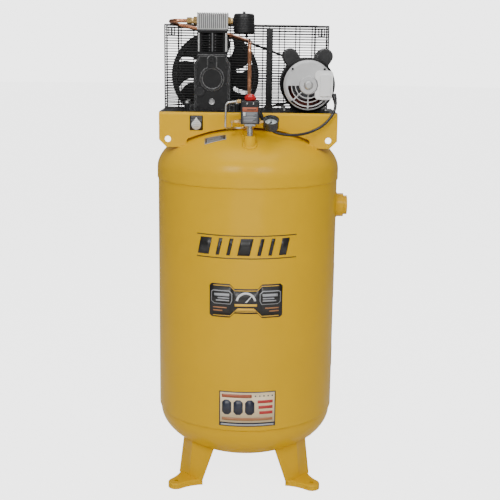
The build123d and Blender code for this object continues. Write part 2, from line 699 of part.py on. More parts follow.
# ======== motor ========
def motor_shell():
    length = SHELL_BACK - SHELL_FRONT
    shell = ring(MOTOR_R, MOTOR_R - MOTOR_WALL, (MOTOR_X, SHELL_FRONT, MOTOR_Z), (0, 1, 0), length)
    save("motor_shell", shell)


def vent_slots(y0, y1):
    """Arc-shaped vents over the lower part of an end bell, split by radial ribs."""
    cuts = []
    for r0, r1, start, end in VENTS:
        count = round((end - start) / 45)
        for index in range(count):
            a0 = start + 45 * index + 2
            a1 = start + 45 * (index + 1) - 2
            sector = make_face(
                CenterArc((0, 0), r1, a0, a1 - a0) + Line(polar(r1, a1), polar(r0, a1))
                + CenterArc((0, 0), r0, a0, a1 - a0) + Line(polar(r0, a0), polar(r1, a0)))
            cuts.append(along_y(Pos(MOTOR_X, MOTOR_Z) * sector, y0, y1))
    return cuts


def polar(r, degrees):
    return (r * math.cos(math.radians(degrees)), r * math.sin(math.radians(degrees)))


def bell_screws():
    """The four through-bolts that clamp the motor's end bells."""
    spots = [polar(SCREW_CIRCLE_R, 45 + 90 * turn) for turn in range(4)]
    return [(MOTOR_X + x, MOTOR_Z + z) for x, z in spots]


def end_bells():
    front = [(27, BELL_FRONT - 4), (30, BELL_FRONT + 1), (72, BELL_FRONT + 3),
             (80, BELL_FRONT + 8), (MOTOR_R + 2, BELL_FRONT + 20), (MOTOR_R + 2, SHELL_FRONT),
             (MOTOR_R - 6, SHELL_FRONT), (MOTOR_R - 7, BELL_FRONT + 22),
             (74, BELL_FRONT + 12), (68, BELL_FRONT + 8), (HUB_R, BELL_FRONT + 6),
             (HUB_R, BELL_FRONT + 26), (17.5, BELL_FRONT + 26), (17.5, BELL_FRONT + 4),
             (15, BELL_FRONT + 4), (15, BELL_FRONT - 4)]
    bell = turned(front, MOTOR_X, MOTOR_Z)
    for cut in vent_slots(BELL_FRONT - 10, SHELL_FRONT - 8):
        bell -= cut
    for x, z in bell_screws():
        bell += rod(4.3, (x, BELL_FRONT + 2, z), (0, 1, 0), 12)
    save("motor_front_bell", bell)
    rear = [(14, BELL_BACK), (HUB_R, BELL_BACK), (HUB_R + 3, BELL_BACK - 8),
            (78, BELL_BACK - 12), (MOTOR_R + 1, BELL_BACK - 22), (MOTOR_R + 1, SHELL_BACK),
            (MOTOR_R - 6, SHELL_BACK), (MOTOR_R - 6, BELL_BACK - 22), (72, BELL_BACK - 17),
            (HUB_R, BELL_BACK - 14), (HUB_R, BELL_BACK - 24), (17.5, BELL_BACK - 24),
            (17.5, BELL_BACK - 6), (14, BELL_BACK - 6)]
    bell = turned(rear, MOTOR_X, MOTOR_Z)
    for turn in range(6):
        slot = Pos(MOTOR_X, MOTOR_Z) * Rot(0, 0, 60 * turn) * Pos(52, 0) * RectangleRounded(26, 14, 5)
        bell -= along_y(slot, SHELL_BACK, BELL_BACK + 5)
    save("motor_rear_bell", bell)
    cap = [(0, BELL_FRONT - 8), (9, BELL_FRONT - 8), (13, BELL_FRONT - 5),
           (14.9, BELL_FRONT - 3), (14.9, BELL_FRONT + 2), (0, BELL_FRONT + 2)]
    save("motor_hub_cap", turned(cap, MOTOR_X, MOTOR_Z))


def motor_inside():
    core = ring(MOTOR_R - MOTOR_WALL, 45.4, (MOTOR_X, -50, MOTOR_Z), (0, 1, 0), 100)
    save("stator_core", core)
    coil = [(50, 0), (54, -16), (66, -22), (77, -16), (78, 0)]
    front = turned([(r, -50 + y) for r, y in coil], MOTOR_X, MOTOR_Z)
    back = turned([(r, 50 - y) for r, y in coil], MOTOR_X, MOTOR_Z)
    save("stator_windings", front, back)
    core = ring(45, MSHAFT_R, (MOTOR_X, -52, MOTOR_Z), (0, 1, 0), 104)
    shaft = rod(MSHAFT_R, (MOTOR_X, BELL_FRONT + 5, MOTOR_Z), (0, 1, 0), 218 - BELL_FRONT - 5)
    fan = ring(20, MSHAFT_R, (MOTOR_X, 60, MOTOR_Z), (0, 1, 0), 14)
    fan += ring(47, 15, (MOTOR_X, 72, MOTOR_Z), (0, 1, 0), 2)
    for turn in range(10):
        fan += Pos(MOTOR_X, 0, MOTOR_Z) * Rot(0, 36 * turn, 0) * block(19, 46, 60, 73, -1, 1)
    save("motor_rotor", core, shaft, fan)


def motor_base():
    left, right = MOTOR_X - 86, MOTOR_X + 74
    plate = block(left, right, -78, 78, PLAT_TOP, PLAT_TOP + 4)
    for x, y in motor_feet():
        plate -= rod(5.5, (x, y, PLAT_TOP), (0, 0, 1), 10)
    seat = block(MOTOR_X - 50, MOTOR_X + 50, -60, -54, PLAT_TOP + 4, MOTOR_Z - 50)
    seat += block(MOTOR_X - 50, MOTOR_X + 50, 54, 60, PLAT_TOP + 4, MOTOR_Z - 50)
    save("motor_base", plate + seat - rod(MOTOR_R, (MOTOR_X, -100, MOTOR_Z), (0, 1, 0), 200))


def capacitor_covers():
    covers = []
    for lean, y0 in ((-32, -66), (32, -66)):
        outline = make_face(
            Line((-25, 70), (25, 70)) + Line((25, 70), (25, 108))
            + ThreePointArc((25, 108), (0, 133), (-25, 108)) + Line((-25, 108), (-25, 70)))
        body = along_y(outline, y0, y0 + 116)
        ends = body.edges().group_by(Axis.Y)
        body = fillet(ends[0] + ends[-1], 4)
        body = Pos(MOTOR_X, 0, MOTOR_Z) * Rot(0, lean, 0) * body
        covers.append(body - rod(MOTOR_R, (MOTOR_X, -100, MOTOR_Z), (0, 1, 0), 200))
    save("capacitor_covers", *covers)


def terminal_envelope():
    """The space that the terminal cover and the end bell behind it fill."""
    cover = block(214, 272, BELL_FRONT - 7, BELL_FRONT + 6, 1307, 1399)
    return cover + rod(MOTOR_R + 2, (MOTOR_X, BELL_FRONT + 6, MOTOR_Z), (0, 1, 0), 60)


def terminal_cover():
    back = BELL_FRONT + 6
    outline = Pos(243, 1353) * RectangleRounded(58, 92, 12)
    panel = Pos(247, 1351) * RectangleRounded(34, 66, 4)
    box = along_y(outline, BELL_FRONT - 7, back) + along_y(panel, BELL_FRONT - 12, BELL_FRONT - 7)
    box -= along_y(Pos(243, 1353) * RectangleRounded(50, 84, 9), BELL_FRONT - 4, back + 20)
    box -= turned([(0, BELL_FRONT - 9), (31, BELL_FRONT - 9), (31, BELL_FRONT + 1),
                   (72, BELL_FRONT + 3), (80, BELL_FRONT + 8), (MOTOR_R + 2, BELL_FRONT + 20),
                   (MOTOR_R + 2, back + 30), (0, back + 30)], MOTOR_X, MOTOR_Z)
    save("terminal_cover", box)


# ======== belt guard ========
def mesh_plate(width, height, clearances=()):
    """A flat wire panel: a plate with a grid of openings and any round clearances."""
    columns = max(1, round((width - WIRE) / MESH_X))
    rows = max(1, round((height - WIRE) / MESH_Z))
    pitch_x = (width - WIRE) / columns
    pitch_z = (height - WIRE) / rows
    half_cell = math.hypot(pitch_x, pitch_z) / 2
    holes = []
    for column in range(columns):
        for row in range(rows):
            x = WIRE / 2 + pitch_x * (column + 0.5) - width / 2
            z = WIRE / 2 + pitch_z * (row + 0.5) - height / 2
            if all(math.hypot(x - cx, z - cz) > r + half_cell for cx, cz, r in clearances):
                cell = Rectangle(pitch_x - WIRE, pitch_z - WIRE)
                holes.append((Pos(x, z) * cell).wire())
    holes += [(Pos(cx, cz) * Circle(r)).wire() for cx, cz, r in clearances]
    return Face(Rectangle(width, height).wire(), holes)


def upright_panel(start, end, face_maker, height):
    """A vertical wire panel between two points of the floor plan."""
    run = Vector(*end) - Vector(*start)
    middle = (Vector(*start) + Vector(*end)) * 0.5
    plane = Plane(origin=(middle.X, middle.Y, (GUARD_TOP + GUARD_BOTTOM) / 2), x_dir=run,
                  z_dir=Vector(0, 0, 1).cross(run) * -1)
    return extrude(plane * face_maker(run.length, height), amount=WIRE)


def belt_guard():
    width = GUARD_RIGHT - GUARD_LEFT
    height = GUARD_TOP - GUARD_BOTTOM
    mid_x = (GUARD_RIGHT + GUARD_LEFT) / 2
    mid_z = (GUARD_TOP + GUARD_BOTTOM) / 2
    around = [(CRANK_X - mid_x, CRANK_Z - mid_z, 40), (MOTOR_X - mid_x, MOTOR_Z - mid_z, 40)]
    front = Pos(mid_x, mid_z) * mesh_plate(width, height, around)
    save("guard_front_mesh", along_y(front, GUARD_FRONT, GUARD_FRONT + WIRE))
    rear = Pos(mid_x, mid_z) * mesh_plate(width - 2 * GUARD_BEVEL, height)
    save("guard_rear_mesh", along_y(rear, GUARD_BACK - WIRE, GUARD_BACK))

    start = GUARD_FRONT + WIRE
    gap = 0.5
    walls = []
    for side, edge in ((-1, GUARD_LEFT), (1, GUARD_RIGHT)):
        corner = edge - side * GUARD_BEVEL
        near, bend = (edge, start), (edge, GUARD_BEVEL_Y)
        low, high = (edge, GUARD_BEVEL_Y + gap), (corner, GUARD_BACK - gap)
        if side < 0:
            near, bend, low, high = bend, near, high, low
        walls.append(upright_panel(near, bend, mesh_plate, height))
        walls.append(upright_panel(low, high, mesh_plate, height))
    left = GUARD_LEFT + GUARD_BEVEL + WIRE
    right = GUARD_RIGHT - GUARD_BEVEL - WIRE
    middle = ((left + right) / 2, (start + GUARD_BACK - WIRE) / 2)
    for z in (GUARD_BOTTOM, GUARD_TOP - WIRE):
        lid = Pos(*middle, z) * mesh_plate(right - left, GUARD_BACK - WIRE - start)
        walls.append(extrude(lid, amount=WIRE))
    save("guard_sides", *walls)

    strap = block(59, 82, GUARD_FRONT - 3, GUARD_FRONT, PLAT_TOP - 60, GUARD_TOP - 10)
    strap += block(59, 82, PLAT_HALF_Y, GUARD_FRONT, PLAT_TOP - 60, PLAT_TOP - 30)
    clips = []
    for x in (GUARD_LEFT + 14, GUARD_RIGHT - 38):
        y0, y1 = GUARD_FRONT - 2, GUARD_FRONT
        bars = block(x, x + 24, y0, y1, 1534, 1538) + block(x, x + 24, y0, y1, 1508, 1512)
        bars += block(x, x + 4, y0, y1, 1508, 1538) + block(x + 20, x + 24, y0, y1, 1508, 1538)
        bars += block(x + 9, x + 15, y0, y1, 1508, 1538)
        clips.append(bars)
    save("guard_strap", strap, *clips)


# ======== pressure controls ========
def manifold():
    """The grey pipe block over the tank socket, with the nipple that carries it."""
    x, y = SWITCH_X, SWITCH_Y
    nipple = ring(7.9, 5, (x, y, dome_z(x, y) + 4), (0, 0, 1), MANIFOLD_Z - 12 - dome_z(x, y) - 4)
    nipple += ring(9.5, 7.9, (x, y, BUNG_TOP_Z), (0, 0, 1), 22)
    save("switch_nipple", nipple)
    body = block(x - 18, x + 18, y - 16, y + 16, MANIFOLD_Z - 12, MANIFOLD_Z + 12)
    body = fillet(body.edges().filter_by(Axis.Z), 4)
    for axis, reach in (((-1, 0, 0), 26), ((1, 0, 0), 26)):
        body += rod(10, (x, y, MANIFOLD_Z), axis, reach)
        body -= rod(5, (x, y, MANIFOLD_Z), axis, reach)
    body -= rod(5, (x, y, MANIFOLD_Z - 12), (0, 0, 1), 24)
    save("switch_manifold", body)


def switch_envelope():
    """The space that the switch's base and cover fill."""
    x, y, low = SWITCH_X, SWITCH_Y, MANIFOLD_Z + 12
    return block(x - 26, x + 26, y - 24, y + 26, low, low + 8) + block(
        x - 29, x + 29, y - 27, y + 29, low + 8, SWITCH_TOP)


def pressure_switch():
    x, y = SWITCH_X, SWITCH_Y
    low = MANIFOLD_Z + 12
    base = block(x - 26, x + 26, y - 24, y + 26, low, low + 8)
    save("switch_base", fillet(base.edges().filter_by(Axis.Z), 4))
    cover = block(x - 29, x + 29, y - 27, y + 29, low + 8, SWITCH_TOP)
    cover = fillet(cover.edges().filter_by(Axis.Z) + cover.edges().group_by(Axis.Z)[-1], 4)
    cover -= block(x - 26.5, x + 26.5, y - 24.5, y + 26.5, low + 8, 1303)
    cover += block(x - 29, x + 29, y - 27, y - 24.5, SWITCH_APRON_Z, low + 12)
    cover -= rod(5.3, (x, y, 1290), (0, 0, 1), 40)
    save("switch_cover", cover)
    knob = upright([(0, 1306.4), (15, 1306.4), (17.5, 1310), (17, 1318), (12, 1325), (5, 1327),
                    (0, 1327)], x, y)
    knob += rod(5, (x, y, 1276), (0, 0, 1), 31)
    save("switch_knob", knob)


def gauge():
    """A round gauge tipped back so that its face looks up and forward."""
    lean = math.radians(GAUGE_TILT)
    axis = (0, -math.cos(lean), math.sin(lean))
    place = Plane(origin=GAUGE_AT, x_dir=(1, 0, 0), z_dir=axis)

    def disc(r, z0, z1):
        return place * Pos(0, 0, z0) * Cylinder(r, z1 - z0, align=(Align.CENTER, Align.CENTER,
                                                                   Align.MIN))

    save("gauge_case", disc(25, -16, 12) - disc(22.5, -2, 20))
    save("gauge_lens", disc(22.4, 7, 10))
    pointer = disc(3, 1, 4) + place * Pos(0, 0, 2) * (
        Rot(0, 0, 225) * Pos(7, 0, 0) * Box(22, 2.2, 1.2))
    save("gauge_needle", pointer)
    start = (SWITCH_X + 26, SWITCH_Y, MANIFOLD_Z)
    neck = hex_bar(14, start, (1, 0, 0), 7)
    neck += rod(5, (start[0], start[1], start[2]), (1, 0, 0), 20) - disc(25, -16, 12)
    save("gauge_fitting", neck)


def relief_valve():
    x, y = SWITCH_X - 26, SWITCH_Y
    body = hex_bar(14, (x, y, RELIEF_Z), (-1, 0, 0), 9) + rod(4.9, (x, y, RELIEF_Z), (1, 0, 0), 8)
    body += rod(6, (x - 9, y, RELIEF_Z), (-1, 0, 0), 14)
    body -= rod(2.3, (x + 4, y, RELIEF_Z), (-1, 0, 0), 40)
    save("relief_valve", body)
    end = x - 23
    pull = rod(2.2, (x - 10, y, RELIEF_Z), (-1, 0, 0), 19)
    pull += rod(3.6, (end - 0.4, y, RELIEF_Z), (-1, 0, 0), 2)
    eye = end - 8
    pull += rod(4.5, (eye, y - 1.5, RELIEF_Z), (0, 1, 0), 3)
    pull -= rod(2.6, (eye, y - 3, RELIEF_Z), (0, 1, 0), 6)
    save("relief_stem", pull)
    loop = Plane(origin=(eye, y, RELIEF_Z - 9), z_dir=(1, 0, 0)) * Torus(9, 1.0)
    save("relief_ring", loop)


def check_valve():
    x, y = CHECK_X, CHECK_Y
    low = CHECK_BUNG_TOP_Z
    body = rod(7.9, (x, y, low - 8), (0, 0, 1), 8) + hex_bar(27, (x, y, low), (0, 0, 1), 14)
    body += rod(9, (x, y, low + 14), (0, 0, 1), 6)
    nut = hex_bar(22, (x, y, low + 20), (0, 0, 1), 14)
    body += nut - rod(TUBE_R, (x, y, 1238), (0, 0, 1), 20)
    body += rod(4, (x - 8, y, 1215), (-1, 0, 0), 10)
    save("check_valve", body)


def tubes():
    radii = [30, 30, 30, 40, 30]
    tube, length = pipe(DISCHARGE_ROUTE, TUBE_R, radii)
    bore, _ = pipe(DISCHARGE_ROUTE, TUBE_R - 1, radii)
    print("discharge tube", round(length), round(tube.volume / length / math.pi / TUBE_R ** 2, 3))
    save("discharge_tube", tube - bore)
    route = UNLOADER_ROUTE
    tube, length = pipe(route, UNLOADER_R, [12, 12, 14])
    print("unloader tube", round(length),
          round(tube.volume / length / math.pi / UNLOADER_R ** 2, 3))
    save("unloader_tube", tube)


def motor_lead():
    radii = corner_radii(LEAD_ROUTE)
    print("lead radii", [round(r) for r in radii])
    lead, length = pipe(LEAD_ROUTE, LEAD_R, radii)
    print("lead length", round(length), "volume ratio",
          round(lead.volume / length / math.pi / LEAD_R ** 2, 3))
    save("motor_lead", lead)
    first = Vector(*LEAD_ROUTE[0])
    back = (first - Vector(*LEAD_ROUTE[1])).normalized()
    base = rod(7, tuple(first), tuple(back), 16) - switch_envelope()
    last = Vector(*LEAD_ROUTE[-1])
    ahead = (last - Vector(*LEAD_ROUTE[-2])).normalized()
    top = rod(7, tuple(last), tuple(ahead), 18) - terminal_envelope()
    save("lead_glands", *[piece.solids().sort_by(Axis.X)[-1] for piece in (base, top)])


def main():
    os.makedirs("parts", exist_ok=True)
    tank()
    bungs()
    drain_valve()
    legs()
    platform()
    crankcase()
    bearing_carrier()
    crankshaft()
    piston_set()
    cylinder()
    cylinder_head()
    bolts()
    air_filter()
    flywheel()
    motor_pulley()
    drive_belt()
    motor_shell()
    end_bells()
    motor_inside()
    motor_base()
    capacitor_covers()
    terminal_cover()
    belt_guard()
    manifold()
    pressure_switch()
    gauge()
    relief_valve()
    check_valve()
    tubes()
    motor_lead()
    print(len(written), "nodes")


main()
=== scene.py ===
import json
import math

import bmesh
import bpy
from mathutils import Matrix, Vector


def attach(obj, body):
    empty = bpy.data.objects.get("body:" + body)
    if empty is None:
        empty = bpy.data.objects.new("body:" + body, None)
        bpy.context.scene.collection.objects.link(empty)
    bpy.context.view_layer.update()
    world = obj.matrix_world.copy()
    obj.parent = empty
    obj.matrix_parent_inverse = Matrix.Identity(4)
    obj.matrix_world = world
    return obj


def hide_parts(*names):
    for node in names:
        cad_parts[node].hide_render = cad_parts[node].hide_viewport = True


# The looks of the air compressor, in metres, in the frame of its CAD model.
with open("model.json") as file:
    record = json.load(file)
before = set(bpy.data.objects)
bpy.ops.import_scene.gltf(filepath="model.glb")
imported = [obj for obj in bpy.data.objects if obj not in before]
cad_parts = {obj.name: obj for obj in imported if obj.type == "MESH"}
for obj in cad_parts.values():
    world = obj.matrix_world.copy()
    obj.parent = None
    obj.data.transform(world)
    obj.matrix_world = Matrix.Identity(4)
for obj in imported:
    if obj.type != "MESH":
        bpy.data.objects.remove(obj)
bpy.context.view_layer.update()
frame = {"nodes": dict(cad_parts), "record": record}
NODES = frame["nodes"]
SCENE = bpy.context.scene
MM = 0.001
X, Y, Z = Vector((1, 0, 0)), Vector((0, 1, 0)), Vector((0, 0, 1))

# ---- the object's main sizes, as the CAD has them ----
TANK_R = 0.3048
DOME_R, DOME_DEPTH, DOME_TANGENT = 0.308, 0.152, 1.070
PORT_Z, PORT_R = 0.943, 0.040
CRANK = Vector((-0.120, 0, 1.371))
MOTOR = Vector((0.193, 0, 1.352))
BELL_FACE_R = 0.0801
CYLINDER_Y = -0.026
SWITCH = Vector((0.006, -0.232, 1.240))
CHECK = Vector((0.002, -0.174, 1.208))
SKIRT_Y, DECK_Z = -0.140, 1.263
COVER_Y = -0.259
GAUGE_AT, GAUGE_TILT = Vector((0.072, -0.240, 1.238)), math.radians(58)
LEAD_ROUTE = [
    (0.040, -0.212, 1.258), (0.050, -0.210, 1.240), (0.062, -0.207, 1.221),
    (0.084, -0.204, 1.206), (0.112, -0.199, 1.198), (0.148, -0.190, 1.196),
    (0.184, -0.176, 1.200), (0.216, -0.163, 1.211), (0.242, -0.158, 1.226),
    (0.262, -0.155, 1.246), (0.276, -0.152, 1.268), (0.282, -0.145, 1.290),
    (0.278, -0.137, 1.311),
]
LEAD_R = 0.0045

CAMERA_AT = (0.011, -3.2, 1.459)
CAMERA_LENS = 67.5
CAMERA_PITCH, CAMERA_ROLL = math.radians(78), math.radians(0.72)


# ======== camera ========
def make_camera():
    data = bpy.data.cameras.new("camera")
    data.sensor_width = 36
    data.lens = CAMERA_LENS
    data.clip_start, data.clip_end = 0.05, 60
    camera = bpy.data.objects.new("camera", data)
    SCENE.collection.objects.link(camera)
    place = Matrix.Translation(CAMERA_AT)
    pitch = Matrix.Rotation(CAMERA_PITCH, 4, "X")
    roll = Matrix.Rotation(CAMERA_ROLL, 4, "Z")
    camera.matrix_world = place @ pitch @ roll
    SCENE.camera = camera


make_camera()


# ======== materials ========
NOISE_SPAN = 0.3, 0.7  # where most of a noise texture's values lie
EDGE_TURN = 0.995, 0.90  # a rounded normal's match with the flat one: no edge colour, and the full edge colour (edge wear and painted edge light)


class Recipe:
    """One procedural material under construction, with noise laid out in the shared frame."""

    def __init__(self, name):
        self.material = bpy.data.materials.new(name)
        self.material.use_nodes = True
        self.tree = self.material.node_tree
        self.shader = self.tree.nodes["Principled BSDF"]
        self.place = self.add("ShaderNodeTexCoord").outputs["Object"]

    def add(self, kind, values=None, **settings):
        made = self.tree.nodes.new(kind)
        for key, value in settings.items():
            setattr(made, key, value)
        for key, value in (values or {}).items():
            if isinstance(value, bpy.types.NodeSocket):
                self.tree.links.new(value, made.inputs[key])
            else:
                made.inputs[key].default_value = value
        return made

    def noise(self, scale, detail=3.0, stretch=None):
        place = self.place
        if stretch:
            place = self.add("ShaderNodeMapping", {"Vector": place, "Scale": stretch}).outputs[0]
        values = {"Vector": place, "Scale": scale, "Detail": detail}
        return self.add("ShaderNodeTexNoise", values).outputs["Fac"]

    def remap(self, value, low, high, to_low, to_high):
        values = {"Value": value, "From Min": low, "From Max": high, "To Min": to_low,
                  "To Max": to_high}
        return self.add("ShaderNodeMapRange", values).outputs["Result"]

    def math(self, operation, a, b=0.0):
        return self.add("ShaderNodeMath", {0: a, 1: b}, operation=operation).outputs[0]

    def mix(self, factor, a, b):
        made = self.add("ShaderNodeMix", {"Factor": factor}, data_type="RGBA")
        for key, value in ((6, a), (7, b)):
            if isinstance(value, bpy.types.NodeSocket):
                self.tree.links.new(value, made.inputs[key])
            else:
                made.inputs[key].default_value = (*value, 1)
        return made.outputs[2]

    def axis(self, index):
        return self.add("ShaderNodeSeparateXYZ", {0: self.place}).outputs[index]

    def tint(self, factor, colour):
        """Lay another colour over the one the shader has, as far as factor says."""
        base = self.shader.inputs["Base Color"].links[0].from_socket
        self.set(colour=self.mix(factor, base, colour))

    def set(self, **values):
        names = {"colour": "Base Color", "rough": "Roughness", "metal": "Metallic",
                 "normal": "Normal", "coat": "Coat Weight", "coat_rough": "Coat Roughness",
                 "specular": "Specular IOR Level"}
        for key, value in values.items():
            socket = self.shader.inputs[names[key]]
            if isinstance(value, bpy.types.NodeSocket):
                self.tree.links.new(value, socket)
            elif key == "colour":
                socket.default_value = (*value, 1)
            else:
                socket.default_value = value


def surface(name, colour, rough, metal=0.0, mottle=0.06, patch=9.0, spread=0.07, grain=0.0001,
            grit=420.0, edge=None, edge_share=0.7, edge_r=0.0012, coat=0.0, coat_rough=0.1,
            specular=0.5, streak=None):
    """A material with uneven colour and gloss, a fine grain, and an edge colour: wear on bare
    metal, painted edge light on other surfaces.
    """
    recipe = Recipe(name)
    patches = recipe.noise(patch, 4.0, streak)
    shade = recipe.remap(patches, *NOISE_SPAN, 1 - mottle, 1 + mottle)
    tone = recipe.add("ShaderNodeHueSaturation", {"Value": shade, "Color": (*colour, 1)})
    base = tone.outputs[0]
    height = recipe.noise(grit, 2.0, streak)
    bump = {"Height": height, "Distance": grain, "Strength": 0.9}
    # The edge colour is wear on the bare metals, a painted highlight where it is lighter on paint,
    # plastic and rubber, and a painted shadow on the white plastic.
    if edge:
        rounded = recipe.add("ShaderNodeBevel", {"Radius": edge_r}, samples=4).outputs[0]
        plain = recipe.add("ShaderNodeNewGeometry").outputs["Normal"]
        match = recipe.add("ShaderNodeVectorMath", {0: rounded, 1: plain},
                           operation="DOT_PRODUCT").outputs["Value"]
        edge_wear_and_painted_light = recipe.remap(match, *EDGE_TURN, 0.0, edge_share)
        broken = recipe.remap(recipe.noise(160.0, 3.0), 0.35, 0.6, 0.35, 1.0)
        base = recipe.mix(recipe.math("MULTIPLY", edge_wear_and_painted_light, broken), base, edge)
        bump["Normal"] = rounded
    gloss = recipe.remap(recipe.noise(patch * 2.3, 5.0), *NOISE_SPAN, rough - spread,
                         rough + spread)
    recipe.set(colour=base, rough=gloss, metal=metal, coat=coat, coat_rough=coat_rough,
               specular=specular, normal=recipe.add("ShaderNodeBump", bump).outputs[0])
    return recipe


YELLOW = (0.80, 0.455, 0.0)
BLACK = (0.008, 0.008, 0.0085)


def tank_paint():
    """Glossy yellow powder coat with a faint orange peel, and a painted highlight in brighter
    yellow on its edges.
    """
    recipe = surface("tank_paint", YELLOW, 0.33, mottle=0.025, patch=4.0, spread=0.04,
                     grain=0.00022, grit=170.0, edge=(0.95, 0.60, 0.02), edge_share=0.35,
                     edge_r=0.002, coat=0.10, coat_rough=0.14, specular=0.15)
    return recipe.material


def platform_paint():
    """The same yellow with a painted highlight on its edges, and painted shade: the platform's top
    face is painted near black.
    """
    recipe = surface("platform_paint", YELLOW, 0.34, mottle=0.03, patch=5.0, grain=0.0002,
                     grit=180.0, edge=(0.95, 0.62, 0.03), edge_share=0.35, edge_r=0.002,
                     coat=0.10, coat_rough=0.16, specular=0.15)
    # painted shade: faces at the platform's top height turn near black
    top_painted_shade = recipe.remap(recipe.axis(2), DECK_Z - 0.0006, DECK_Z - 0.0002, 0.0, 1.0)
    recipe.tint(top_painted_shade, (0.012, 0.012, 0.012))
    return recipe.material


def motor_grey():
    """Die-cast end bells, whose outer rims are sprayed black with the motor's shell."""
    recipe = surface("motor_grey", (0.62, 0.62, 0.62), 0.42, 0.3, mottle=0.05, patch=34.0,
                     grain=0.0003, grit=560.0, edge=(0.88, 0.88, 0.88), edge_r=0.001)
    across = recipe.math("SUBTRACT", recipe.axis(0), MOTOR.x)
    up = recipe.math("SUBTRACT", recipe.axis(2), MOTOR.z)
    radius = recipe.math("SQRT", recipe.math("ADD", recipe.math("MULTIPLY", across, across),
                                             recipe.math("MULTIPLY", up, up)))
    rim = recipe.remap(radius, BELL_FACE_R - 0.0003, BELL_FACE_R + 0.0003, 0.0, 1.0)
    recipe.tint(rim, (0.010, 0.010, 0.010))
    return recipe.material


COPPER_SHADED = 1.44, 1.52  # between these heights painted shade turns the tube dark
BLACK_BOLTS = -0.16, -0.0875  # between these depths bolts are black


def copper():
    """Bright tube, with mottled painted shade that darkens it towards the cylinder head."""
    recipe = surface("copper", (0.86, 0.40, 0.22), 0.22, 1.0, mottle=0.12, patch=26.0, spread=0.1,
                     grain=0.00005, streak=(1, 1, 0.15))
    # painted shade: the tube darkens upwards towards the head, broken up by noise
    shade_rise = recipe.remap(recipe.axis(2), *COPPER_SHADED, 0.0, 0.75)
    painted_shade = recipe.math("MULTIPLY", shade_rise, recipe.remap(recipe.noise(40.0), 0.3, 0.6, 0.5, 1.0))
    recipe.tint(painted_shade, (0.16, 0.055, 0.03))
    return recipe.material


def bolt_steel():
    """Zinc-plated bolts, of which those on the front of the pump and motor are blackened."""
    recipe = surface("zinc_steel", (0.66, 0.66, 0.64), 0.3, 1.0, mottle=0.12, patch=60.0,
                     edge=(0.85, 0.85, 0.83), edge_r=0.0006)
    y, (front_y, back_y) = recipe.axis(1), BLACK_BOLTS
    front = recipe.math("MULTIPLY", recipe.remap(y, back_y + 0.001, back_y, 0.0, 1.0),
                        recipe.remap(y, front_y, front_y + 0.001, 0.0, 1.0))
    recipe.tint(front, (0.07, 0.07, 0.07))
    return recipe.material


def windings():
    """Dark red enamelled wire, laid round the motor's axis."""
    recipe = surface("windings", (0.16, 0.028, 0.016), 0.35, 0.2, mottle=0.3, patch=90.0,
                     grain=0.0006, grit=900.0, coat=0.4)
    return recipe.material


def glass():
    """Clear flat glass. Its outer faces mirror a little, and more at a slant."""
    recipe = Recipe("glass")
    tree = recipe.tree
    clear = recipe.add("ShaderNodeBsdfTransparent", {"Color": (0.96, 0.98, 0.98, 1)})
    smudge = recipe.remap(recipe.noise(120.0), *NOISE_SPAN, 0.02, 0.09)
    mirror = recipe.add("ShaderNodeBsdfGlossy", {"Color": (1, 1, 1, 1), "Roughness": smudge})
    slant = recipe.add("ShaderNodeFresnel", {"IOR": 1.45}).outputs[0]
    inside = recipe.add("ShaderNodeNewGeometry").outputs["Backfacing"]
    share = recipe.math("MULTIPLY", slant, recipe.math("SUBTRACT", 1.0, inside))
    both = recipe.add("ShaderNodeMixShader", {0: share, 1: clear.outputs[0],
                                              2: mirror.outputs[0]})
    out = tree.nodes["Material Output"]
    tree.links.new(both.outputs[0], out.inputs["Surface"])
    tree.nodes.remove(recipe.shader)
    return recipe.material


def plain(*values, **settings):
    """The material of a surface that needs nothing more."""
    return surface(*values, **settings).material


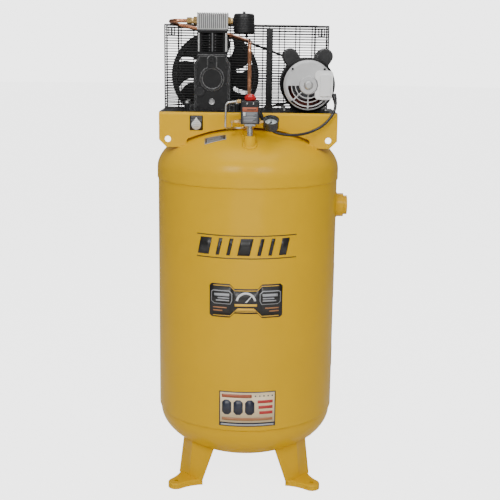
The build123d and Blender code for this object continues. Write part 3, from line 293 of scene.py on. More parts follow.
MATERIALS = {
    "tank_paint": tank_paint(),
    "platform_paint": platform_paint(),
    # grey edges: painted highlight on the black castings
    "black_cast": plain("black_cast", BLACK, 0.40, mottle=0.18, patch=40.0, spread=0.1,
                        grain=0.0004, grit=520.0, edge=(0.34, 0.34, 0.34), edge_share=0.9,
                        edge_r=0.004, coat=0.12, coat_rough=0.25, specular=0.35),
    "bare_aluminium": plain("bare_aluminium", (0.60, 0.60, 0.59), 0.42, 0.75, mottle=0.1,
                            patch=30.0, grain=0.0003, grit=600.0, edge=(0.80, 0.80, 0.79)),
    "plate_steel": plain("plate_steel", (0.16, 0.16, 0.165), 0.4, 0.8, mottle=0.12, patch=40.0,
                         edge=(0.4, 0.4, 0.4)),
    "zinc_steel": bolt_steel(),
    "bearing_steel": plain("bearing_steel", (0.62, 0.62, 0.62), 0.2, 1.0, mottle=0.06,
                           grain=0.00004, edge=(0.8, 0.8, 0.8)),
    "copper": copper(),
    "brass": plain("brass", (0.74, 0.49, 0.19), 0.28, 1.0, mottle=0.12, patch=70.0,
                   edge=(0.92, 0.72, 0.40), edge_r=0.0007),
    # lighter edges: painted highlight
    "black_plastic": plain("black_plastic", (0.013, 0.013, 0.014), 0.38, mottle=0.12, patch=24.0,
                           grain=0.00012, grit=800.0, edge=(0.10, 0.10, 0.10), edge_share=0.35),
    # brighter red edges: painted highlight
    "red_plastic": plain("red_plastic", (0.55, 0.006, 0.008), 0.25, mottle=0.08, patch=60.0,
                         edge=(0.85, 0.10, 0.08), edge_share=0.4, coat=0.5),
    # darker grey edges: painted shadow along the raised panel's border
    "white_plastic": plain("white_plastic", (0.97, 0.97, 0.96), 0.38, mottle=0.025, patch=20.0,
                           edge=(0.45, 0.45, 0.45), edge_share=0.7, coat=0.2),
    "glass": glass(),
    "motor_grey": motor_grey(),
    # lighter edges: painted highlight
    "motor_black": plain("motor_black", (0.022, 0.022, 0.023), 0.36, mottle=0.12, patch=22.0,
                         grain=0.00016, grit=420.0, edge=(0.16, 0.16, 0.16), edge_share=0.4,
                         coat=0.3, coat_rough=0.25),
    "windings": windings(),
    "core_steel": plain("core_steel", (0.20, 0.20, 0.21), 0.45, 0.9, mottle=0.15, patch=60.0,
                        grain=0.0003, grit=900.0, streak=(1, 8, 1)),
    # lighter edges: painted highlight
    "belt_rubber": plain("belt_rubber", (0.017, 0.017, 0.017), 0.7, mottle=0.2, patch=60.0,
                         grain=0.0004, grit=900.0, edge=(0.06, 0.06, 0.06)),
    "cable_rubber": plain("cable_rubber", (0.014, 0.013, 0.013), 0.34, mottle=0.15, patch=50.0,
                          grain=0.0001, grit=600.0, coat=0.3, coat_rough=0.3),
    "guard_wire": plain("guard_wire", (0.012, 0.012, 0.013), 0.42, mottle=0.15, patch=40.0,
                        grain=0.0001, coat=0.2, coat_rough=0.3),
    # lighter edges: painted highlight
    "gauge_black": plain("gauge_black", (0.012, 0.012, 0.013), 0.28, mottle=0.1, patch=50.0,
                         edge=(0.12, 0.12, 0.12), edge_share=0.5, coat=0.5),
    "needle": plain("needle", (0.02, 0.02, 0.02), 0.4, mottle=0.1, patch=200.0, grain=0.00002),
}
VINYL = {
    name: plain("vinyl_" + name, colour, 0.36, mottle=0.035, patch=30.0, grain=0.00003,
                grit=900.0, coat=0.25, coat_rough=0.2)
    for name, colour in {
        "black": (0.012, 0.011, 0.010), "white": (0.82, 0.82, 0.80), "cream": (0.86, 0.68, 0.40),
        "red": (0.52, 0.025, 0.022), "orange": (0.42, 0.095, 0.035), "navy": (0.02, 0.025, 0.045),
        "grey": (0.13, 0.135, 0.15), "pale_grey": (0.42, 0.43, 0.45), "amber": (0.88, 0.50, 0.03),
        "rust": (0.42, 0.17, 0.06),
    }.items()
}


# lighter edges: painted highlight on the black fins
FINS = plain("black_fins", BLACK, 0.45, mottle=0.18, patch=40.0, grain=0.0004, grit=520.0,
             edge=(0.10, 0.10, 0.10), edge_share=0.5, edge_r=0.0006, specular=0.25)


def dress_nodes():
    """Give every CAD node the material of its slot in the record, and the cylinder finer edges."""
    for row in frame["record"]["subparts"]:
        mesh = NODES[row["node"]].data
        mesh.materials.clear()
        mesh.materials.append(MATERIALS[row["material_slot"]])
    NODES["cylinder"].data.materials[0] = FINS


# ======== pieces ========
def piece(name, bm, material, body="frame", crease=35.0):
    """Turn a bmesh built in the shared frame into a piece that rides on a body."""
    bmesh.ops.recalc_face_normals(bm, faces=bm.faces)
    mesh = bpy.data.meshes.new(name)
    bm.to_mesh(mesh)
    bm.free()
    for face in mesh.polygons:
        face.use_smooth = True
    mesh.set_sharp_from_angle(angle=math.radians(crease))
    mesh.materials.append(material)
    made = bpy.data.objects.new(name, mesh)
    SCENE.collection.objects.link(made)
    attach(made, body)
    return made


def frame_along(direction):
    """Two unit vectors square to a direction."""
    side = direction.orthogonal().normalized()
    return side, direction.normalized().cross(side)


def add_loop(bm, centre, side, other, radius, count):
    spots = [2 * math.pi * k / count for k in range(count)]
    return [bm.verts.new(centre + radius * (math.cos(a) * side + math.sin(a) * other))
            for a in spots]


def bridge(bm, low, high):
    count = len(low)
    for k in range(count):
        bm.faces.new((low[k], low[(k + 1) % count], high[(k + 1) % count], high[k]))


def add_tube(bm, points, radius, sides=6, closed=False):
    """A round tube along points. radius is a number or one number for each point."""
    points = [Vector(p) for p in points]
    count = len(points)
    radii = radius if isinstance(radius, (list, tuple)) else [radius] * count
    side = None
    loops = []
    for k, point in enumerate(points):
        if closed:
            along = points[(k + 1) % count] - points[k - 1]
        else:
            along = points[min(k + 1, count - 1)] - points[max(k - 1, 0)]
        along.normalize()
        if side is None:
            side = along.orthogonal().normalized()
        side = (side - along * side.dot(along)).normalized()
        loops.append(add_loop(bm, point, side, along.cross(side), radii[k], sides))
    for low, high in zip(loops, loops[1:]):
        bridge(bm, low, high)
    if closed:
        last, first = loops[-1], loops[0]
        shift = min(range(sides), key=lambda s: (last[0].co - first[s].co).length)
        bridge(bm, last, first[shift:] + first[:shift])
    else:
        bm.faces.new(loops[0])
        bm.faces.new(loops[-1])


def add_lathe(bm, profile, origin, axis, sides=40):
    """Turn (radius, distance along the axis) points. A radius of 0 closes an end."""
    axis = Vector(axis).normalized()
    side, other = frame_along(axis)
    loops = []
    for radius, along in profile:
        centre = Vector(origin) + axis * along
        if radius > 0:
            loops.append(add_loop(bm, centre, side, other, radius, sides))
        else:
            loops.append([bm.verts.new(centre)])
    for low, high in zip(loops, loops[1:]):
        if len(low) == 1 or len(high) == 1:
            tip, loop = (low[0], high) if len(low) == 1 else (high[0], low)
            for k in range(sides):
                bm.faces.new((tip, loop[k], loop[(k + 1) % sides]))
        else:
            bridge(bm, low, high)
    for loop in (loops[0], loops[-1]):
        if len(loop) > 1:
            bm.faces.new(loop)


def add_lathe_ring(bm, profile, origin, axis, sides=56):
    """Turn a closed profile, without end faces. Its last point is its first."""
    axis = Vector(axis).normalized()
    side, other = frame_along(axis)
    loops = [add_loop(bm, Vector(origin) + axis * along, side, other, radius, sides)
             for radius, along in profile[:-1]]
    for low, high in zip(loops, loops[1:] + loops[:1]):
        bridge(bm, low, high)


def add_prism(bm, outline, place, low, high):
    """A flat plate: a closed outline in a matrix's X-Y plane, between two heights."""
    ends = []
    for height in (low, high):
        ends.append([bm.verts.new(place @ Vector((x, y, height))) for x, y in outline])
        bm.faces.new(ends[-1])
    bridge(bm, *ends)


def place_at(origin, across, up):
    """A matrix whose X is across, whose Y is up and whose Z is their cross product."""
    across, up = Vector(across).normalized(), Vector(up).normalized()
    out = across.cross(up)
    made = Matrix((across, up, out)).transposed().to_4x4()
    made.translation = Vector(origin)
    return made


def rounded_box(width, height, radius, steps=5):
    """The outline of a rectangle with rounded corners, about its middle."""
    points = []
    for turn, (sx, sy) in enumerate(((1, 1), (-1, 1), (-1, -1), (1, -1))):
        cx, cy = sx * (width / 2 - radius), sy * (height / 2 - radius)
        for k in range(steps + 1):
            angle = math.radians(90 * (turn + k / steps))
            points.append((cx + radius * math.cos(angle), cy + radius * math.sin(angle)))
    return points


def hexagon(across):
    reach = across / math.sqrt(3)
    return [(reach * math.cos(math.radians(60 * k)), reach * math.sin(math.radians(60 * k)))
            for k in range(6)]


def dome_z(x, y):
    return DOME_TANGENT + DOME_DEPTH * math.sqrt(max(0, 1 - (x * x + y * y) / DOME_R ** 2))


# ======== motor lead ========
def motor_lead():
    curve = bpy.data.curves.new("motor_lead_cord", "CURVE")
    curve.dimensions = "3D"
    spline = curve.splines.new("NURBS")
    spline.points.add(len(LEAD_ROUTE) - 1)
    for point, spot in zip(spline.points, LEAD_ROUTE):
        point.co = (*spot, 1)
    spline.order_u = 3
    spline.use_endpoint_u = True
    spline.resolution_u = 10
    curve.bevel_depth = LEAD_R
    curve.bevel_resolution = 6
    curve.use_fill_caps = True
    curve.materials.append(MATERIALS["cable_rubber"])
    lead = bpy.data.objects.new("motor_lead_cord", curve)
    SCENE.collection.objects.link(lead)
    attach(lead, "frame")
    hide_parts("motor_lead")
    boot = [(0, -15), (7.4, -15), (7.8, -14), (7.8, -4), (7.2, -3), (7.2, -1), (7.9, 0),
            (7.9, 2), (6.6, 3), (6.9, 5), (6.1, 6.4), (6.4, 8.4), (5.7, 9.8), (6.0, 11.8),
            (5.4, 13.2), (5.6, 15.2), (5.0, 17), (4.9, 20), (0, 20)]
    for label, end, nxt in (("switch", 0, 1), ("motor", -1, -2)):
        start = Vector(LEAD_ROUTE[end])
        away = Vector(LEAD_ROUTE[nxt]) - start
        bm = bmesh.new()
        add_lathe(bm, [(r * MM, h * MM) for r, h in boot], start, away, 28)
        made = piece("lead_boot_" + label, bm, MATERIALS["black_plastic"],
                     crease=25)
        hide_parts("lead_glands")


# ======== belt guard ========
WIRE_R, EDGE_WIRE_R = 0.0017, 0.0024
UPRIGHT_STEP, CROSS_STEP, SHORTEST_WIRE = 0.057, 0.0092, 0.002
GUARD_LOW, GUARD_HIGH = 1.207, 1.545
GUARD_LEFT, GUARD_RIGHT, GUARD_FRONT, GUARD_BACK = -0.2955, 0.2755, 0.1515, 0.2605
BEVEL_LEFT, BEVEL_RIGHT, BEVEL_Y = -0.2555, 0.2355, 0.232
HUB_HOLE_R = 0.040
# Each kind of panel has its rim this far in, so that two rims at one corner don't coincide.
RIM_INSET, BEVEL_INSET, LEVEL_INSET = 0.0003, 0.0007, 0.0011


def gaps_in(low, high, level, holes, swap):
    """The stretches of a wire between low and high that miss every round hole."""
    spans = [(low, high)]
    for cx, cy, r in holes:
        if swap:
            cx, cy = cy, cx
        if abs(level - cy) < r:
            reach = math.sqrt(r * r - (level - cy) ** 2)
            kept = []
            for a, b in spans:
                kept += [(a, min(b, cx - reach)), (max(a, cx + reach), b)]
            spans = [(a, b) for a, b in kept if b - a > SHORTEST_WIRE]
    return spans


def wire_panel(bm, start, end, up, height, holes=(), inset=RIM_INSET):
    """Welded mesh: close wires across, wider-spaced wires up, and a thicker rim."""
    start, end, up = Vector(start), Vector(end), Vector(up).normalized()
    across = (end - start).normalized()
    width = (end - start).length
    back = across.cross(up) * WIRE_R
    columns = max(1, round(width / UPRIGHT_STEP))
    rows = max(1, round(height / CROSS_STEP))
    for row in range(1, rows):
        level = height * row / rows
        for a, b in gaps_in(0, width, level, holes, False):
            line = [start + across * t + up * level + back for t in (a, b)]
            add_tube(bm, line, WIRE_R)
    for column in range(1, columns):
        level = width * column / columns
        for a, b in gaps_in(0, height, level, holes, True):
            line = [start + across * level + up * t - back for t in (a, b)]
            add_tube(bm, line, WIRE_R)
    rim = [start + across * u + up * v for u, v in (
        (inset, inset), (width - inset, inset), (width - inset, height - inset),
        (inset, height - inset))]
    for a, b in zip(rim, rim[1:] + rim[:1]):
        step = (b - a).normalized() * inset
        add_tube(bm, [a + step, b - step * 2], EDGE_WIRE_R, 8)
    for cx, cy, r in holes:
        ring = [start + across * (cx + r * math.cos(a)) + up * (cy + r * math.sin(a))
                for a in (math.tau * k / 48 for k in range(48))]
        add_tube(bm, ring, EDGE_WIRE_R, 8, closed=True)


def belt_guard():
    height = GUARD_HIGH - GUARD_LOW
    front, rear, sides = bmesh.new(), bmesh.new(), bmesh.new()
    holes = [(spot.x - GUARD_LEFT, spot.z - GUARD_LOW, HUB_HOLE_R) for spot in (CRANK, MOTOR)]
    wire_panel(front, (GUARD_LEFT, GUARD_FRONT, GUARD_LOW), (GUARD_RIGHT, GUARD_FRONT, GUARD_LOW),
               Z, height, holes)
    wire_panel(rear, (BEVEL_LEFT, GUARD_BACK, GUARD_LOW), (BEVEL_RIGHT, GUARD_BACK, GUARD_LOW),
               Z, height)
    for edge, bevel in ((GUARD_LEFT, BEVEL_LEFT), (GUARD_RIGHT, BEVEL_RIGHT)):
        corner = (edge, BEVEL_Y, GUARD_LOW)
        wire_panel(sides, (edge, GUARD_FRONT, GUARD_LOW), corner, Z, height)
        wire_panel(sides, corner, (bevel, GUARD_BACK, GUARD_LOW), Z, height, inset=BEVEL_INSET)
    for level in (GUARD_LOW, GUARD_HIGH):
        wire_panel(sides, (BEVEL_LEFT, GUARD_FRONT, level), (BEVEL_RIGHT, GUARD_FRONT, level), Y,
                   GUARD_BACK - GUARD_FRONT, inset=LEVEL_INSET)
    for name, bm, node in (("guard_front_wires", front, "guard_front_mesh"),
                           ("guard_rear_wires", rear, "guard_rear_mesh"),
                           ("guard_side_wires", sides, "guard_sides")):
        made = piece(name, bm, MATERIALS["guard_wire"])
        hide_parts(node)


# ======== welds ========
def bead(name, paths, radius, slot="tank_paint"):
    """Rippled weld beads. Each path is (points, whether it is closed)."""
    bm = bmesh.new()
    for points, closed in paths:
        radii = [radius * (1 + 0.10 * math.sin(2.1 * k) + 0.05 * math.sin(0.7 * k + 1))
                 for k in range(len(points))]
        add_tube(bm, points, radii, 10, closed)
    piece(name, bm, MATERIALS[slot], crease=80)


def circle(count, spot):
    """What spot() gives for each of a number of angles round a circle."""
    return [spot(math.tau * k / count) for k in range(count)]


def welds():
    port_r, bung_r, half_depth = PORT_R + 0.001, 0.0205, 0.1415
    for name, r, z in (("weld_top_seam", 0.3058, 1.0392), ("weld_bottom_seam", 0.3020, 0.2335)):
        ring = circle(420, lambda a: Vector((r * math.cos(a), r * math.sin(a), z)))
        bead(name, [(ring, True)], 0.0022)

    def port(a):
        y = port_r * math.cos(a)
        return Vector((math.sqrt(TANK_R ** 2 - y * y), y, PORT_Z + port_r * math.sin(a)))

    bead("weld_port", [(circle(110, port), True)], 0.0030)
    paths = []
    for spot in (SWITCH, CHECK):
        def bung(a, spot=spot):
            x, y = spot.x + bung_r * math.cos(a), spot.y + bung_r * math.sin(a)
            return Vector((x, y, dome_z(x, y) + 0.0005))

        paths.append((circle(64, bung), True))
    bead("weld_bungs", paths, 0.0042)
    paths = []
    for side in (-1, 1):
        for y in (-half_depth, half_depth):
            xs = [side * (0.199 + 0.0012 * k) for k in range(22)]
            paths.append(([Vector((x, y, dome_z(x, y))) for x in xs], False))
    bead("weld_platform", paths, 0.0026, "platform_paint")


# ======== labels ========
FILM_T = 0.00016
FILM_LIFT, FILM_STEP = 0.0004, 0.0003
LOWER_LABEL_X = 9
TAG_X, TAG_Z = -168.5, 1227


def sheet_piece(name, outlines, material, lift, wrap, step=0.008):
    """Thin film cut to outlines of (across, up) points, laid on a surface by wrap()."""
    bm = bmesh.new()
    for outline in outlines:
        bm.faces.new([bm.verts.new((x, 0, z)) for x, z in outline])
    low = min(x for outline in outlines for x, _ in outline)
    high = max(x for outline in outlines for x, _ in outline)
    cut = math.ceil(low / step) * step
    while cut < high:
        everything = bm.verts[:] + bm.edges[:] + bm.faces[:]
        bmesh.ops.bisect_plane(bm, geom=everything, dist=1e-7, plane_co=(cut, 0, 0),
                               plane_no=(1, 0, 0))
        cut += step
    bmesh.ops.triangulate(bm, faces=bm.faces)
    for vert in bm.verts:
        vert.co = wrap(vert.co.x, vert.co.z, lift)
    skin = piece(name, bm, VINYL[material]).modifiers.new("film", "SOLIDIFY")
    skin.thickness = FILM_T
    skin.offset = 0


def on_tank(across, up, lift):
    angle = across / TANK_R
    reach = TANK_R + lift
    return Vector((reach * math.sin(angle), -reach * math.cos(angle), up))


def bar(x0, x1, z0, z1, lean=0.0, cut=0.0):
    """A four-sided bar that can lean, or a bar with cut corners."""
    if cut:
        return [(x0 + cut, z0), (x1 - cut, z0), (x1, z0 + cut), (x1, z1 - cut), (x1 - cut, z1),
                (x0 + cut, z1), (x0, z1 - cut), (x0, z0 + cut)]
    return [(x0, z0), (x1, z0), (x1 + lean, z1), (x0 + lean, z1)]


def film(name, outlines, material, layer, dx=0.0, dz=0.0, wrap=on_tank):
    """A label film whose outlines are in millimetres. A higher layer lies over a lower one."""
    metres = [[((x + dx) * MM, (z + dz) * MM) for x, z in outline] for outline in outlines]
    sheet_piece(name, metres, material, FILM_LIFT + FILM_STEP * layer, wrap)


def both_sides(outline):
    return [outline, [(-x, z) for x, z in reversed(outline)]]


def upper_band():
    """Two fine lines with a plain row of slanted blocks between them."""
    half, gap, lean = 167, 23.4, 12
    lines = [bar(-half, half, 886, 889), bar(-half, half, 813, 816)]
    blocks = []
    x = 3.0 - half
    for width in (40, 12, 12, 40, 12, 12, 26):
        blocks.append(bar(x, x + width, 824, 879, lean))
        x += width + gap
    film("band_lines", lines, "black", 0)
    film("band_blocks", blocks, "black", 0)


def rating_badge():
    """A dog-bone badge with two side panels and a plain dial sign in the middle."""
    half = [(0, 716), (38, 716), (52, 731), (112, 731), (120, 724), (120, 627), (112, 620),
            (52, 620), (38, 634), (0, 634)]
    outline = half + [(-x, z) for x, z in reversed(half[1:-1])]
    film("badge_base", [outline], "black", 0)
    trim = both_sides([(36, 711), (50, 726), (108, 726), (108, 723.5), (51, 723.5), (37, 708.5)])
    trim += both_sides([(36, 639), (50, 624.5), (108, 624.5), (108, 627), (51, 627), (37, 641.5)])
    trim += [bar(-36, 36, 708.5, 711), bar(-36, 36, 639, 641.5)]
    film("badge_trim", trim, "amber", 1)
    film("badge_band", [[(-26, 652), (26, 652), (36, 643), (-36, 643)]], "amber", 1)
    panel = [(50, 664), (104, 664), (114, 672), (114, 704), (108, 709), (54, 709), (44, 700),
             (44, 676)]
    film("badge_panels", both_sides(panel), "pale_grey", 1)
    inner = [(51, 666.5), (103, 666.5), (111.5, 673), (111.5, 703), (107, 706.5), (55, 706.5),
             (46.5, 699), (46.5, 677)]
    film("badge_panel_fill", both_sides(inner), "black", 2)
    rows = [bar(54, 104, 690, 699), bar(54, 92, 682, 686), bar(54, 98, 674, 678)]
    film("badge_rows", [o for row in rows for o in both_sides(row)], "pale_grey", 3)
    arc = [(33 * math.cos(a), 672 + 33 * math.sin(a)) for a in
           (math.radians(8 + 164 * k / 20) for k in range(21))]
    arc += [(26 * math.cos(a), 672 + 26 * math.sin(a)) for a in
            (math.radians(172 - 164 * k / 20) for k in range(21))]
    needle = [(-3.2, 671), (3.2, 671), (20.5, 693), (18.5, 694.5)]
    film("badge_dial", [arc, needle], "white", 1)
    film("badge_bar", [bar(-36, 36, 658, 666)], "amber", 1)
    small = both_sides(bar(62, 108, 650, 654)) + both_sides(bar(76, 108, 640, 644))
    film("badge_small_bars", small, "rust", 1)


def lower_label():
    """A pale label with a dark border, three dark blocks and three red bars."""
    dots = [[(x + 2.6 * math.cos(a), 355 + 2.6 * math.sin(a)) for a in
             (math.tau * k / 12 for k in range(12))] for x in (26, 40, 54, 68, 82)]
    blocks = [bar(x, x + 31, 290, 341, cut=9) for x in (-84, -46, -8)]
    stripes = [bar(33 + inset, 84, z, z + 10.5) for inset, z in ((0, 330), (3, 311), (6, 292))]
    for name, outlines, material, layer in (
        ("border", [bar(-94, 94, 249, 370)], "navy", 0),
        ("base", [bar(-90.5, 90.5, 263, 366.5)], "cream", 1),
        ("heading", [bar(-85, 14, 349, 361, cut=2)], "orange", 2),
        ("dots", dots, "navy", 2),
        ("blocks", blocks, "navy", 2),
        ("stripes", stripes, "red", 2),
        ("footer", [bar(-84, 84, 270, 280)], "rust", 2),
        ("strip", [bar(-88, 88, 252, 258)], "pale_grey", 1),
    ):
        film("label_" + name, outlines, material, layer, LOWER_LABEL_X)


def side_labels():
    """Two plain data labels round the tank's right side."""
    for name, x0, x1, z0, z1, head in (("side_upper", 455, 575, 618, 742, "orange"),
                                       ("side_lower", 425, 560, 372, 446, "amber")):
        film(name + "_base", [bar(x0, x1, z0, z1, cut=3)], "pale_grey", 0)
        film(name + "_head", [bar(x0 + 4, x1 - 4, z1 - 18, z1 - 4)], head, 1)
        count = int((z1 - z0 - 30) / 12)
        rows = [bar(x0 + 8, x1 - 14 - 9 * (k % 3), z0 + 8 + 12 * k, z0 + 13 + 12 * k)
                for k in range(count)]
        film(name + "_rows", rows, "grey", 1)


def on_skirt(across, up, lift):
    return Vector((across, SKIRT_Y - lift, up))


def drop_tag():
    """A black tag on the front skirt, with a drop that has a few lines in it."""
    film("tag_base", [bar(-190, -147, 1204, 1252, cut=1.5)], "black", 0, wrap=on_skirt)
    drop = [(0, 20)]
    for k in range(25):
        a = math.radians(62 - 304 * k / 24)
        drop.append((15.5 * math.cos(a), -5.5 + 15.5 * math.sin(a)))
    film("tag_drop", [drop], "white", 1, TAG_X, TAG_Z, on_skirt)
    rows = [bar(-7, 7, 8, 9.4), bar(-9, 9, 2, 3.4), bar(-10, 10, -4, -2.6), bar(-8, 8, -10, -8.6)]
    film("tag_rows", rows, "pale_grey", 2, TAG_X, TAG_Z - 1, on_skirt)


def dome_plate():
    """A small data plate on the dome."""
    width, height, lift_off = 0.070, 0.036, 0.0006
    corners = [Vector(c) for c in ((-0.1382, -0.2017), (-0.0694, -0.2012), (-0.0703, -0.1688),
                                   (-0.1401, -0.1629))]

    def on_dome(across, up, lift):
        low = corners[0].lerp(corners[1], across / width)
        high = corners[3].lerp(corners[2], across / width)
        spot = low.lerp(high, up / height)
        return Vector((spot.x, spot.y, dome_z(spot.x, spot.y) + lift_off + lift))

    film("plate_border", [bar(0, 70, 0, 36)], "pale_grey", 0, wrap=on_dome)
    film("plate_base", [bar(2.5, 67.5, 2.5, 33.5)], "black", 1, wrap=on_dome)
    rows = [bar(6, 60 - 7 * (k % 2), 6 + 6 * k, 8.2 + 6 * k) for k in range(5)]
    film("plate_rows", rows, "pale_grey", 2, wrap=on_dome)


# ======== controls ========
DIAL_R, DIAL_FACE = 0.0221, -0.0010
DIAL_START, DIAL_SWEEP, FULL_SCALE = 225, 270, 200
MARKS, MARK_R, NUMBER_R, INK_T = 40, 0.0208, 0.0138, 0.0002


def gauge_dial():
    """A white dial with a scale from 0 to 200."""
    up = Vector((0, math.sin(GAUGE_TILT), math.cos(GAUGE_TILT)))
    place = place_at(GAUGE_AT, X, up)
    out = place.col[2].to_3d()
    bm = bmesh.new()
    disc = [(0, -0.0019), (DIAL_R, -0.0019), (DIAL_R, -0.0013), (DIAL_R - 0.0005, DIAL_FACE),
            (0, DIAL_FACE)]
    add_lathe(bm, disc, GAUGE_AT, out, 56)
    piece("gauge_dial", bm, VINYL["white"])
    bm = bmesh.new()
    for k in range(MARKS + 1):
        angle = math.radians(DIAL_START - DIAL_SWEEP * k / MARKS)
        long, wide = (0.0032, 0.0007) if k % 5 == 0 else (0.0018, 0.0004)
        turn = place @ Matrix.Rotation(angle, 4, "Z")
        add_prism(bm, bar(MARK_R - long, MARK_R, -wide / 2, wide / 2), turn, DIAL_FACE,
                  DIAL_FACE + INK_T)
    for value in range(0, FULL_SCALE + 1, 50):
        angle = math.radians(DIAL_START - DIAL_SWEEP * value / FULL_SCALE)
        text = bpy.data.curves.new("number", "FONT")
        text.body = str(value)
        text.size = 0.0052
        text.align_x, text.align_y = "CENTER", "CENTER"
        text.extrude = INK_T / 2
        holder = bpy.data.objects.new("number", text)
        SCENE.collection.objects.link(holder)
        flat = bpy.data.meshes.new_from_object(holder)
        spot = Vector((NUMBER_R * math.cos(angle), NUMBER_R * math.sin(angle), DIAL_FACE + INK_T))
        flat.transform(place @ Matrix.Translation(spot))
        bm.from_mesh(flat)
        bpy.data.objects.remove(holder)
    piece("gauge_marks", bm, VINYL["black"])
    bm = bmesh.new()
    rim = [(0.0226, 0.0098), (0.0252, 0.0098), (0.0256, 0.0112), (0.0252, 0.0128),
           (0.0236, 0.0130), (0.0226, 0.0118), (0.0226, 0.0098)]
    add_lathe_ring(bm, rim, GAUGE_AT, out)
    piece("gauge_rim", bm, MATERIALS["gauge_black"])


def switch_details():
    """A plain label and two screws on the switch's cover, and the grips of its knob."""
    screw_z, grips = 1.2985, 28

    def on_cover(across, up, lift):
        return Vector((across, COVER_Y - lift, up))

    film("switch_label", [bar(-17.5, 30.5, 1237, 1287)], "grey", 0, wrap=on_cover)
    film("switch_label_head", [bar(-17.5, 30.5, 1273, 1287)], "orange", 1, wrap=on_cover)
    film("switch_label_box", [bar(-15.5, -8, 1260, 1271)], "white", 1, wrap=on_cover)
    rows = [bar(-5 if z > 1258 else -14, 26 - 5 * (k % 3), z, z + 1.6) for k, z in
            enumerate((1268, 1263.5, 1259, 1254.5, 1250, 1245.5, 1241))]
    film("switch_label_rows", rows, "pale_grey", 1, wrap=on_cover)
    film("switch_label_title", [bar(-3, 24, 1278, 1281)], "black", 2, wrap=on_cover)
    bm = bmesh.new()
    for x in (-0.004, 0.016):
        head = [(0, -0.001), (0.0034, -0.001), (0.0034, 0.0006), (0.0026, 0.0020), (0, 0.0022)]
        add_lathe(bm, head, (x, COVER_Y, screw_z), -Y, 24)
        slot = place_at((x, COVER_Y - head[-1][1], screw_z), X, Z)
        add_prism(bm, bar(-0.0026, 0.0026, -0.0004, 0.0004), slot, 0.0, 0.0003)
    piece("switch_screws", bm, MATERIALS["bearing_steel"])
    bm = bmesh.new()
    for k in range(grips):
        angle = math.tau * k / grips
        out = Vector((math.cos(angle), math.sin(angle), 0))
        base = Vector((SWITCH.x, SWITCH.y, 1.3085)) + out * 0.0168
        add_tube(bm, [base, base + Z * 0.0095 + out * 0.0001], 0.0011, 6)
    piece("knob_grips", bm, MATERIALS["red_plastic"], "knob")


def tube_nuts():
    """Compression nuts on the ends of the unloader tube. Both ends point left."""
    across, long = 0.0105, 0.0095
    bm = bmesh.new()
    for end in ((-0.0232, -0.232, 1.304), (-0.0105, -0.174, 1.215)):
        add_prism(bm, hexagon(across), place_at(end, Y, Z), -long, 0.0)
        add_lathe(bm, [(0.0044, 0.009), (0.0044, 0.0125), (0.0036, 0.0135), (0.0033, 0.0135)],
                  end, -X, 24)
    piece("unloader_nuts", bm, MATERIALS["brass"])


# ======== pump and motor ========
def filter_ribs():
    """Rings round the intake filter, which stands beside the cylinder."""
    x, y, r = -0.018, CYLINDER_Y, 0.0346
    bm = bmesh.new()
    for z in (1.5285, 1.5365, 1.5445, 1.5525, 1.5605):
        ring = circle(64, lambda a: Vector((x + r * math.cos(a), y + r * math.sin(a), z)))
        add_tube(bm, ring, 0.0011, 8, closed=True)
    piece("filter_ribs", bm, MATERIALS["black_plastic"])


def cylinder_trim():
    """Machined edge strips and a middle rib with its studs on the front of the cylinder."""
    front, middle_z, high = CYLINDER_Y - 0.0455, 1.4845, 0.0595
    bm = bmesh.new()
    for side in (-1, 1):
        for y in (front, CYLINDER_Y + 0.0455):
            place = place_at((CRANK.x + side * 0.0445, y, middle_z), X, Z)
            add_prism(bm, rounded_box(0.0046, high, 0.0012, 3), place, -0.0016, 0.0016)
    piece("cylinder_edges", bm, MATERIALS["bare_aluminium"])
    bm = bmesh.new()
    place = place_at((CRANK.x, front, middle_z), X, Z)
    add_prism(bm, rounded_box(0.0040, high, 0.0012, 3), place, -0.0012, 0.0010)
    for dx in (-0.0095, 0.0095):
        for row in range(6):
            spot = (CRANK.x + dx, front + 0.0002, 1.4585 + 0.0098 * row)
            add_lathe(bm, [(0, -0.0016), (0.0015, -0.0016), (0.0015, 0.0012), (0, 0.0016)], spot,
                      -Y, 12)
    piece("cylinder_rib", bm, MATERIALS["plate_steel"])


def head_ribs():
    """Short upright fins on the front and back of the cylinder head, over a dark plate that is
    painted shade in the gaps between them.
    """
    count, step, middle_z = 15, 0.0065, 1.5515
    bm, shade_plate = bmesh.new(), bmesh.new()
    for y, across in ((CYLINDER_Y - 0.050, X), (CYLINDER_Y + 0.050, -X)):
        middle = place_at((CRANK.x, y, middle_z), across, Z)
        # a dark plate behind the fins: painted shade between them
        add_prism(shade_plate, rounded_box(0.094, 0.046, 0.002, 3), middle, -0.001, 0.0003)
        for k in range(count):
            x = CRANK.x + step * (k - (count - 1) / 2)
            place = place_at((x, y, middle_z), across, Z)
            add_prism(bm, rounded_box(0.0034, 0.048, 0.0008, 2), place, -0.001, 0.0026)
    piece("head_ribs", bm, MATERIALS["bare_aluminium"])
    piece("head_painted_shade", shade_plate, MATERIALS["plate_steel"])


def sight_glass_rim():
    bm = bmesh.new()
    spot = (CRANK.x, -0.0920, 1.294)
    rim = [(0.0068, 0.0002), (0.0098, 0.0002), (0.0100, 0.0012), (0.0094, 0.0022),
           (0.0074, 0.0024), (0.0068, 0.0014), (0.0068, 0.0002)]
    add_lathe_ring(bm, rim, spot, -Y, 36)
    add_lathe(bm, [(0, 0.0001), (0.0067, 0.0001), (0.0067, 0.0006), (0, 0.0007)], spot, -Y, 32)
    piece("sight_glass_rim", bm, MATERIALS["bearing_steel"])


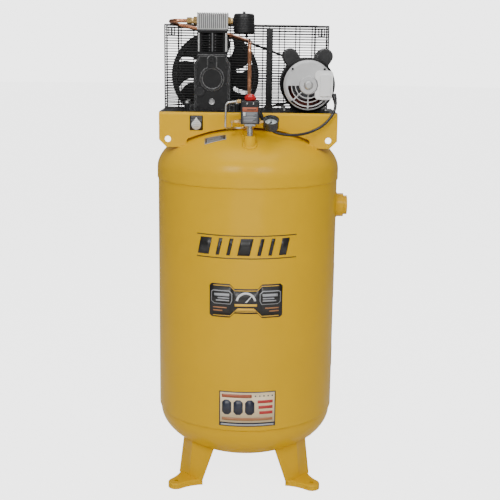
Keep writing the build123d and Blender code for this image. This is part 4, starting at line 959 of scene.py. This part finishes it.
def winding_turns():
    """Separate turns of wire lying over both coil ends of the motor."""
    turns, lean, core_y, wire_r = 90, math.radians(1.76), 0.050, 0.0013
    arch = ((0.0510, 0.001), (0.0545, 0.0165), (0.0660, 0.0228), (0.0770, 0.0168),
            (0.0785, 0.001))
    bm = bmesh.new()
    for side in (-1, 1):
        for k in range(turns):
            points = []
            for step, (r, out) in enumerate(arch):
                a = math.tau * k / turns + lean * step
                spot = Vector((r * math.cos(a), side * (core_y + out), r * math.sin(a)))
                points.append(MOTOR + spot)
            add_tube(bm, points, wire_r)
    piece("winding_turns", bm, MATERIALS["windings"])


def strap_screws():
    """The heads of the two screws that hold the motor's strap."""
    x, y = 0.0705, 0.147
    bm = bmesh.new()
    head = [(0, -0.0005), (0.0058, -0.0005), (0.0058, 0.0008), (0.0044, 0.0026), (0, 0.0030)]
    for z in (1.4533, 1.2300):
        add_lathe(bm, head, (x, y, z), -Y, 24)
    piece("strap_screws", bm, MATERIALS["motor_black"])


def port_thread():
    """A helical thread inside the tank's side outlet."""
    bm = bmesh.new()
    turns, per_turn, pitch, start_x, r = 12, 36, 0.00181, 0.3190, 0.0133
    points = []
    for k in range(turns * per_turn + 1):
        a = math.tau * k / per_turn
        x = start_x + pitch * k / per_turn
        points.append((x, r * math.cos(a), PORT_Z + r * math.sin(a)))
    add_tube(bm, points, 0.0007)
    piece("port_thread", bm, MATERIALS["tank_paint"])


# ======== floor and light ========
FLOOR_GLOW, FLOOR_GLOW_SHARE = 6.5, 0.5
SKY_LIGHT, SKY_SEEN = 0.24, 3.6
LIGHTS = (  # name, place, target, width and height, power
    ("key", (-1.2, -3.3, 3.3), (0, 0, 0.8), (1.2, 1.4), 64),
    ("fill", (1.2, -3.3, 3.1), (0, 0, 0.8), (1.2, 1.4), 50),
    ("low", (0.0, -3.6, 0.4), (0, 0, 0.5), (2.4, 0.6), 9),
    ("top", (0, -0.6, 3.6), (0, 0.1, 1.0), (2.4, 1.6), 26),
    ("back", (0, 2.4, 3.2), (0, 0.6, 1.0), (3.0, 1.2), 30),
)


def bright_floor():
    """White, and brighter to the camera than to the object. It still takes a shadow."""
    recipe = surface("floor", (0.86, 0.86, 0.86), 0.7, mottle=0.006, patch=2.0, specular=0.1)
    glow = recipe.add("ShaderNodeEmission", {"Color": (1, 1, 1, 1), "Strength": FLOOR_GLOW})
    seen = recipe.add("ShaderNodeLightPath").outputs["Is Camera Ray"]
    share = recipe.math("MULTIPLY", seen, FLOOR_GLOW_SHARE)
    both = recipe.add("ShaderNodeMixShader", {0: share, 1: recipe.shader.outputs[0],
                                              2: glow.outputs[0]})
    out = recipe.tree.nodes["Material Output"]
    recipe.tree.links.new(both.outputs[0], out.inputs["Surface"])
    return recipe.material


def add_floor():
    """A wide round floor just under the object."""
    bm = bmesh.new()
    rings = [add_loop(bm, Vector((0, 0, -0.0004)), X, Y, radius, 64) for radius in (3.0, 40.0)]
    bm.faces.new(rings[0])
    bridge(bm, *rings)
    mesh = bpy.data.meshes.new("floor")
    bm.to_mesh(mesh)
    bm.free()
    mesh.materials.append(bright_floor())
    floor = bpy.data.objects.new("floor", mesh)
    SCENE.collection.objects.link(floor)


def add_sky():
    """An even white sky that gives less light than the camera sees."""
    world = bpy.data.worlds.new("studio")
    world.use_nodes = True
    tree = world.node_tree
    seen = tree.nodes.new("ShaderNodeLightPath").outputs["Is Camera Ray"]
    level = tree.nodes.new("ShaderNodeMapRange")
    level.inputs["To Min"].default_value = SKY_LIGHT
    level.inputs["To Max"].default_value = SKY_SEEN
    tree.links.new(seen, level.inputs["Value"])
    tree.links.new(level.outputs["Result"], tree.nodes["Background"].inputs["Strength"])
    tree.nodes["Background"].inputs["Color"].default_value = (1.0, 1.0, 1.0, 1)
    SCENE.world = world


def add_lights():
    for name, spot, target, size, power in LIGHTS:
        data = bpy.data.lights.new(name, "AREA")
        data.shape = "RECTANGLE"
        data.size, data.size_y = size
        data.energy = power
        data.specular_factor = 0.5
        light = bpy.data.objects.new(name, data)
        SCENE.collection.objects.link(light)
        aim = Vector(target) - Vector(spot)
        light.matrix_world = (Matrix.Translation(spot)
                              @ aim.to_track_quat("-Z", "Y").to_matrix().to_4x4())


motor_lead()
dress_nodes()
belt_guard()
welds()
upper_band()
rating_badge()
lower_label()
side_labels()
drop_tag()
dome_plate()
gauge_dial()
switch_details()
tube_nuts()
filter_ribs()
cylinder_trim()
head_ribs()
sight_glass_rim()
winding_turns()
strap_screws()
port_thread()
add_floor()
add_sky()
add_lights()
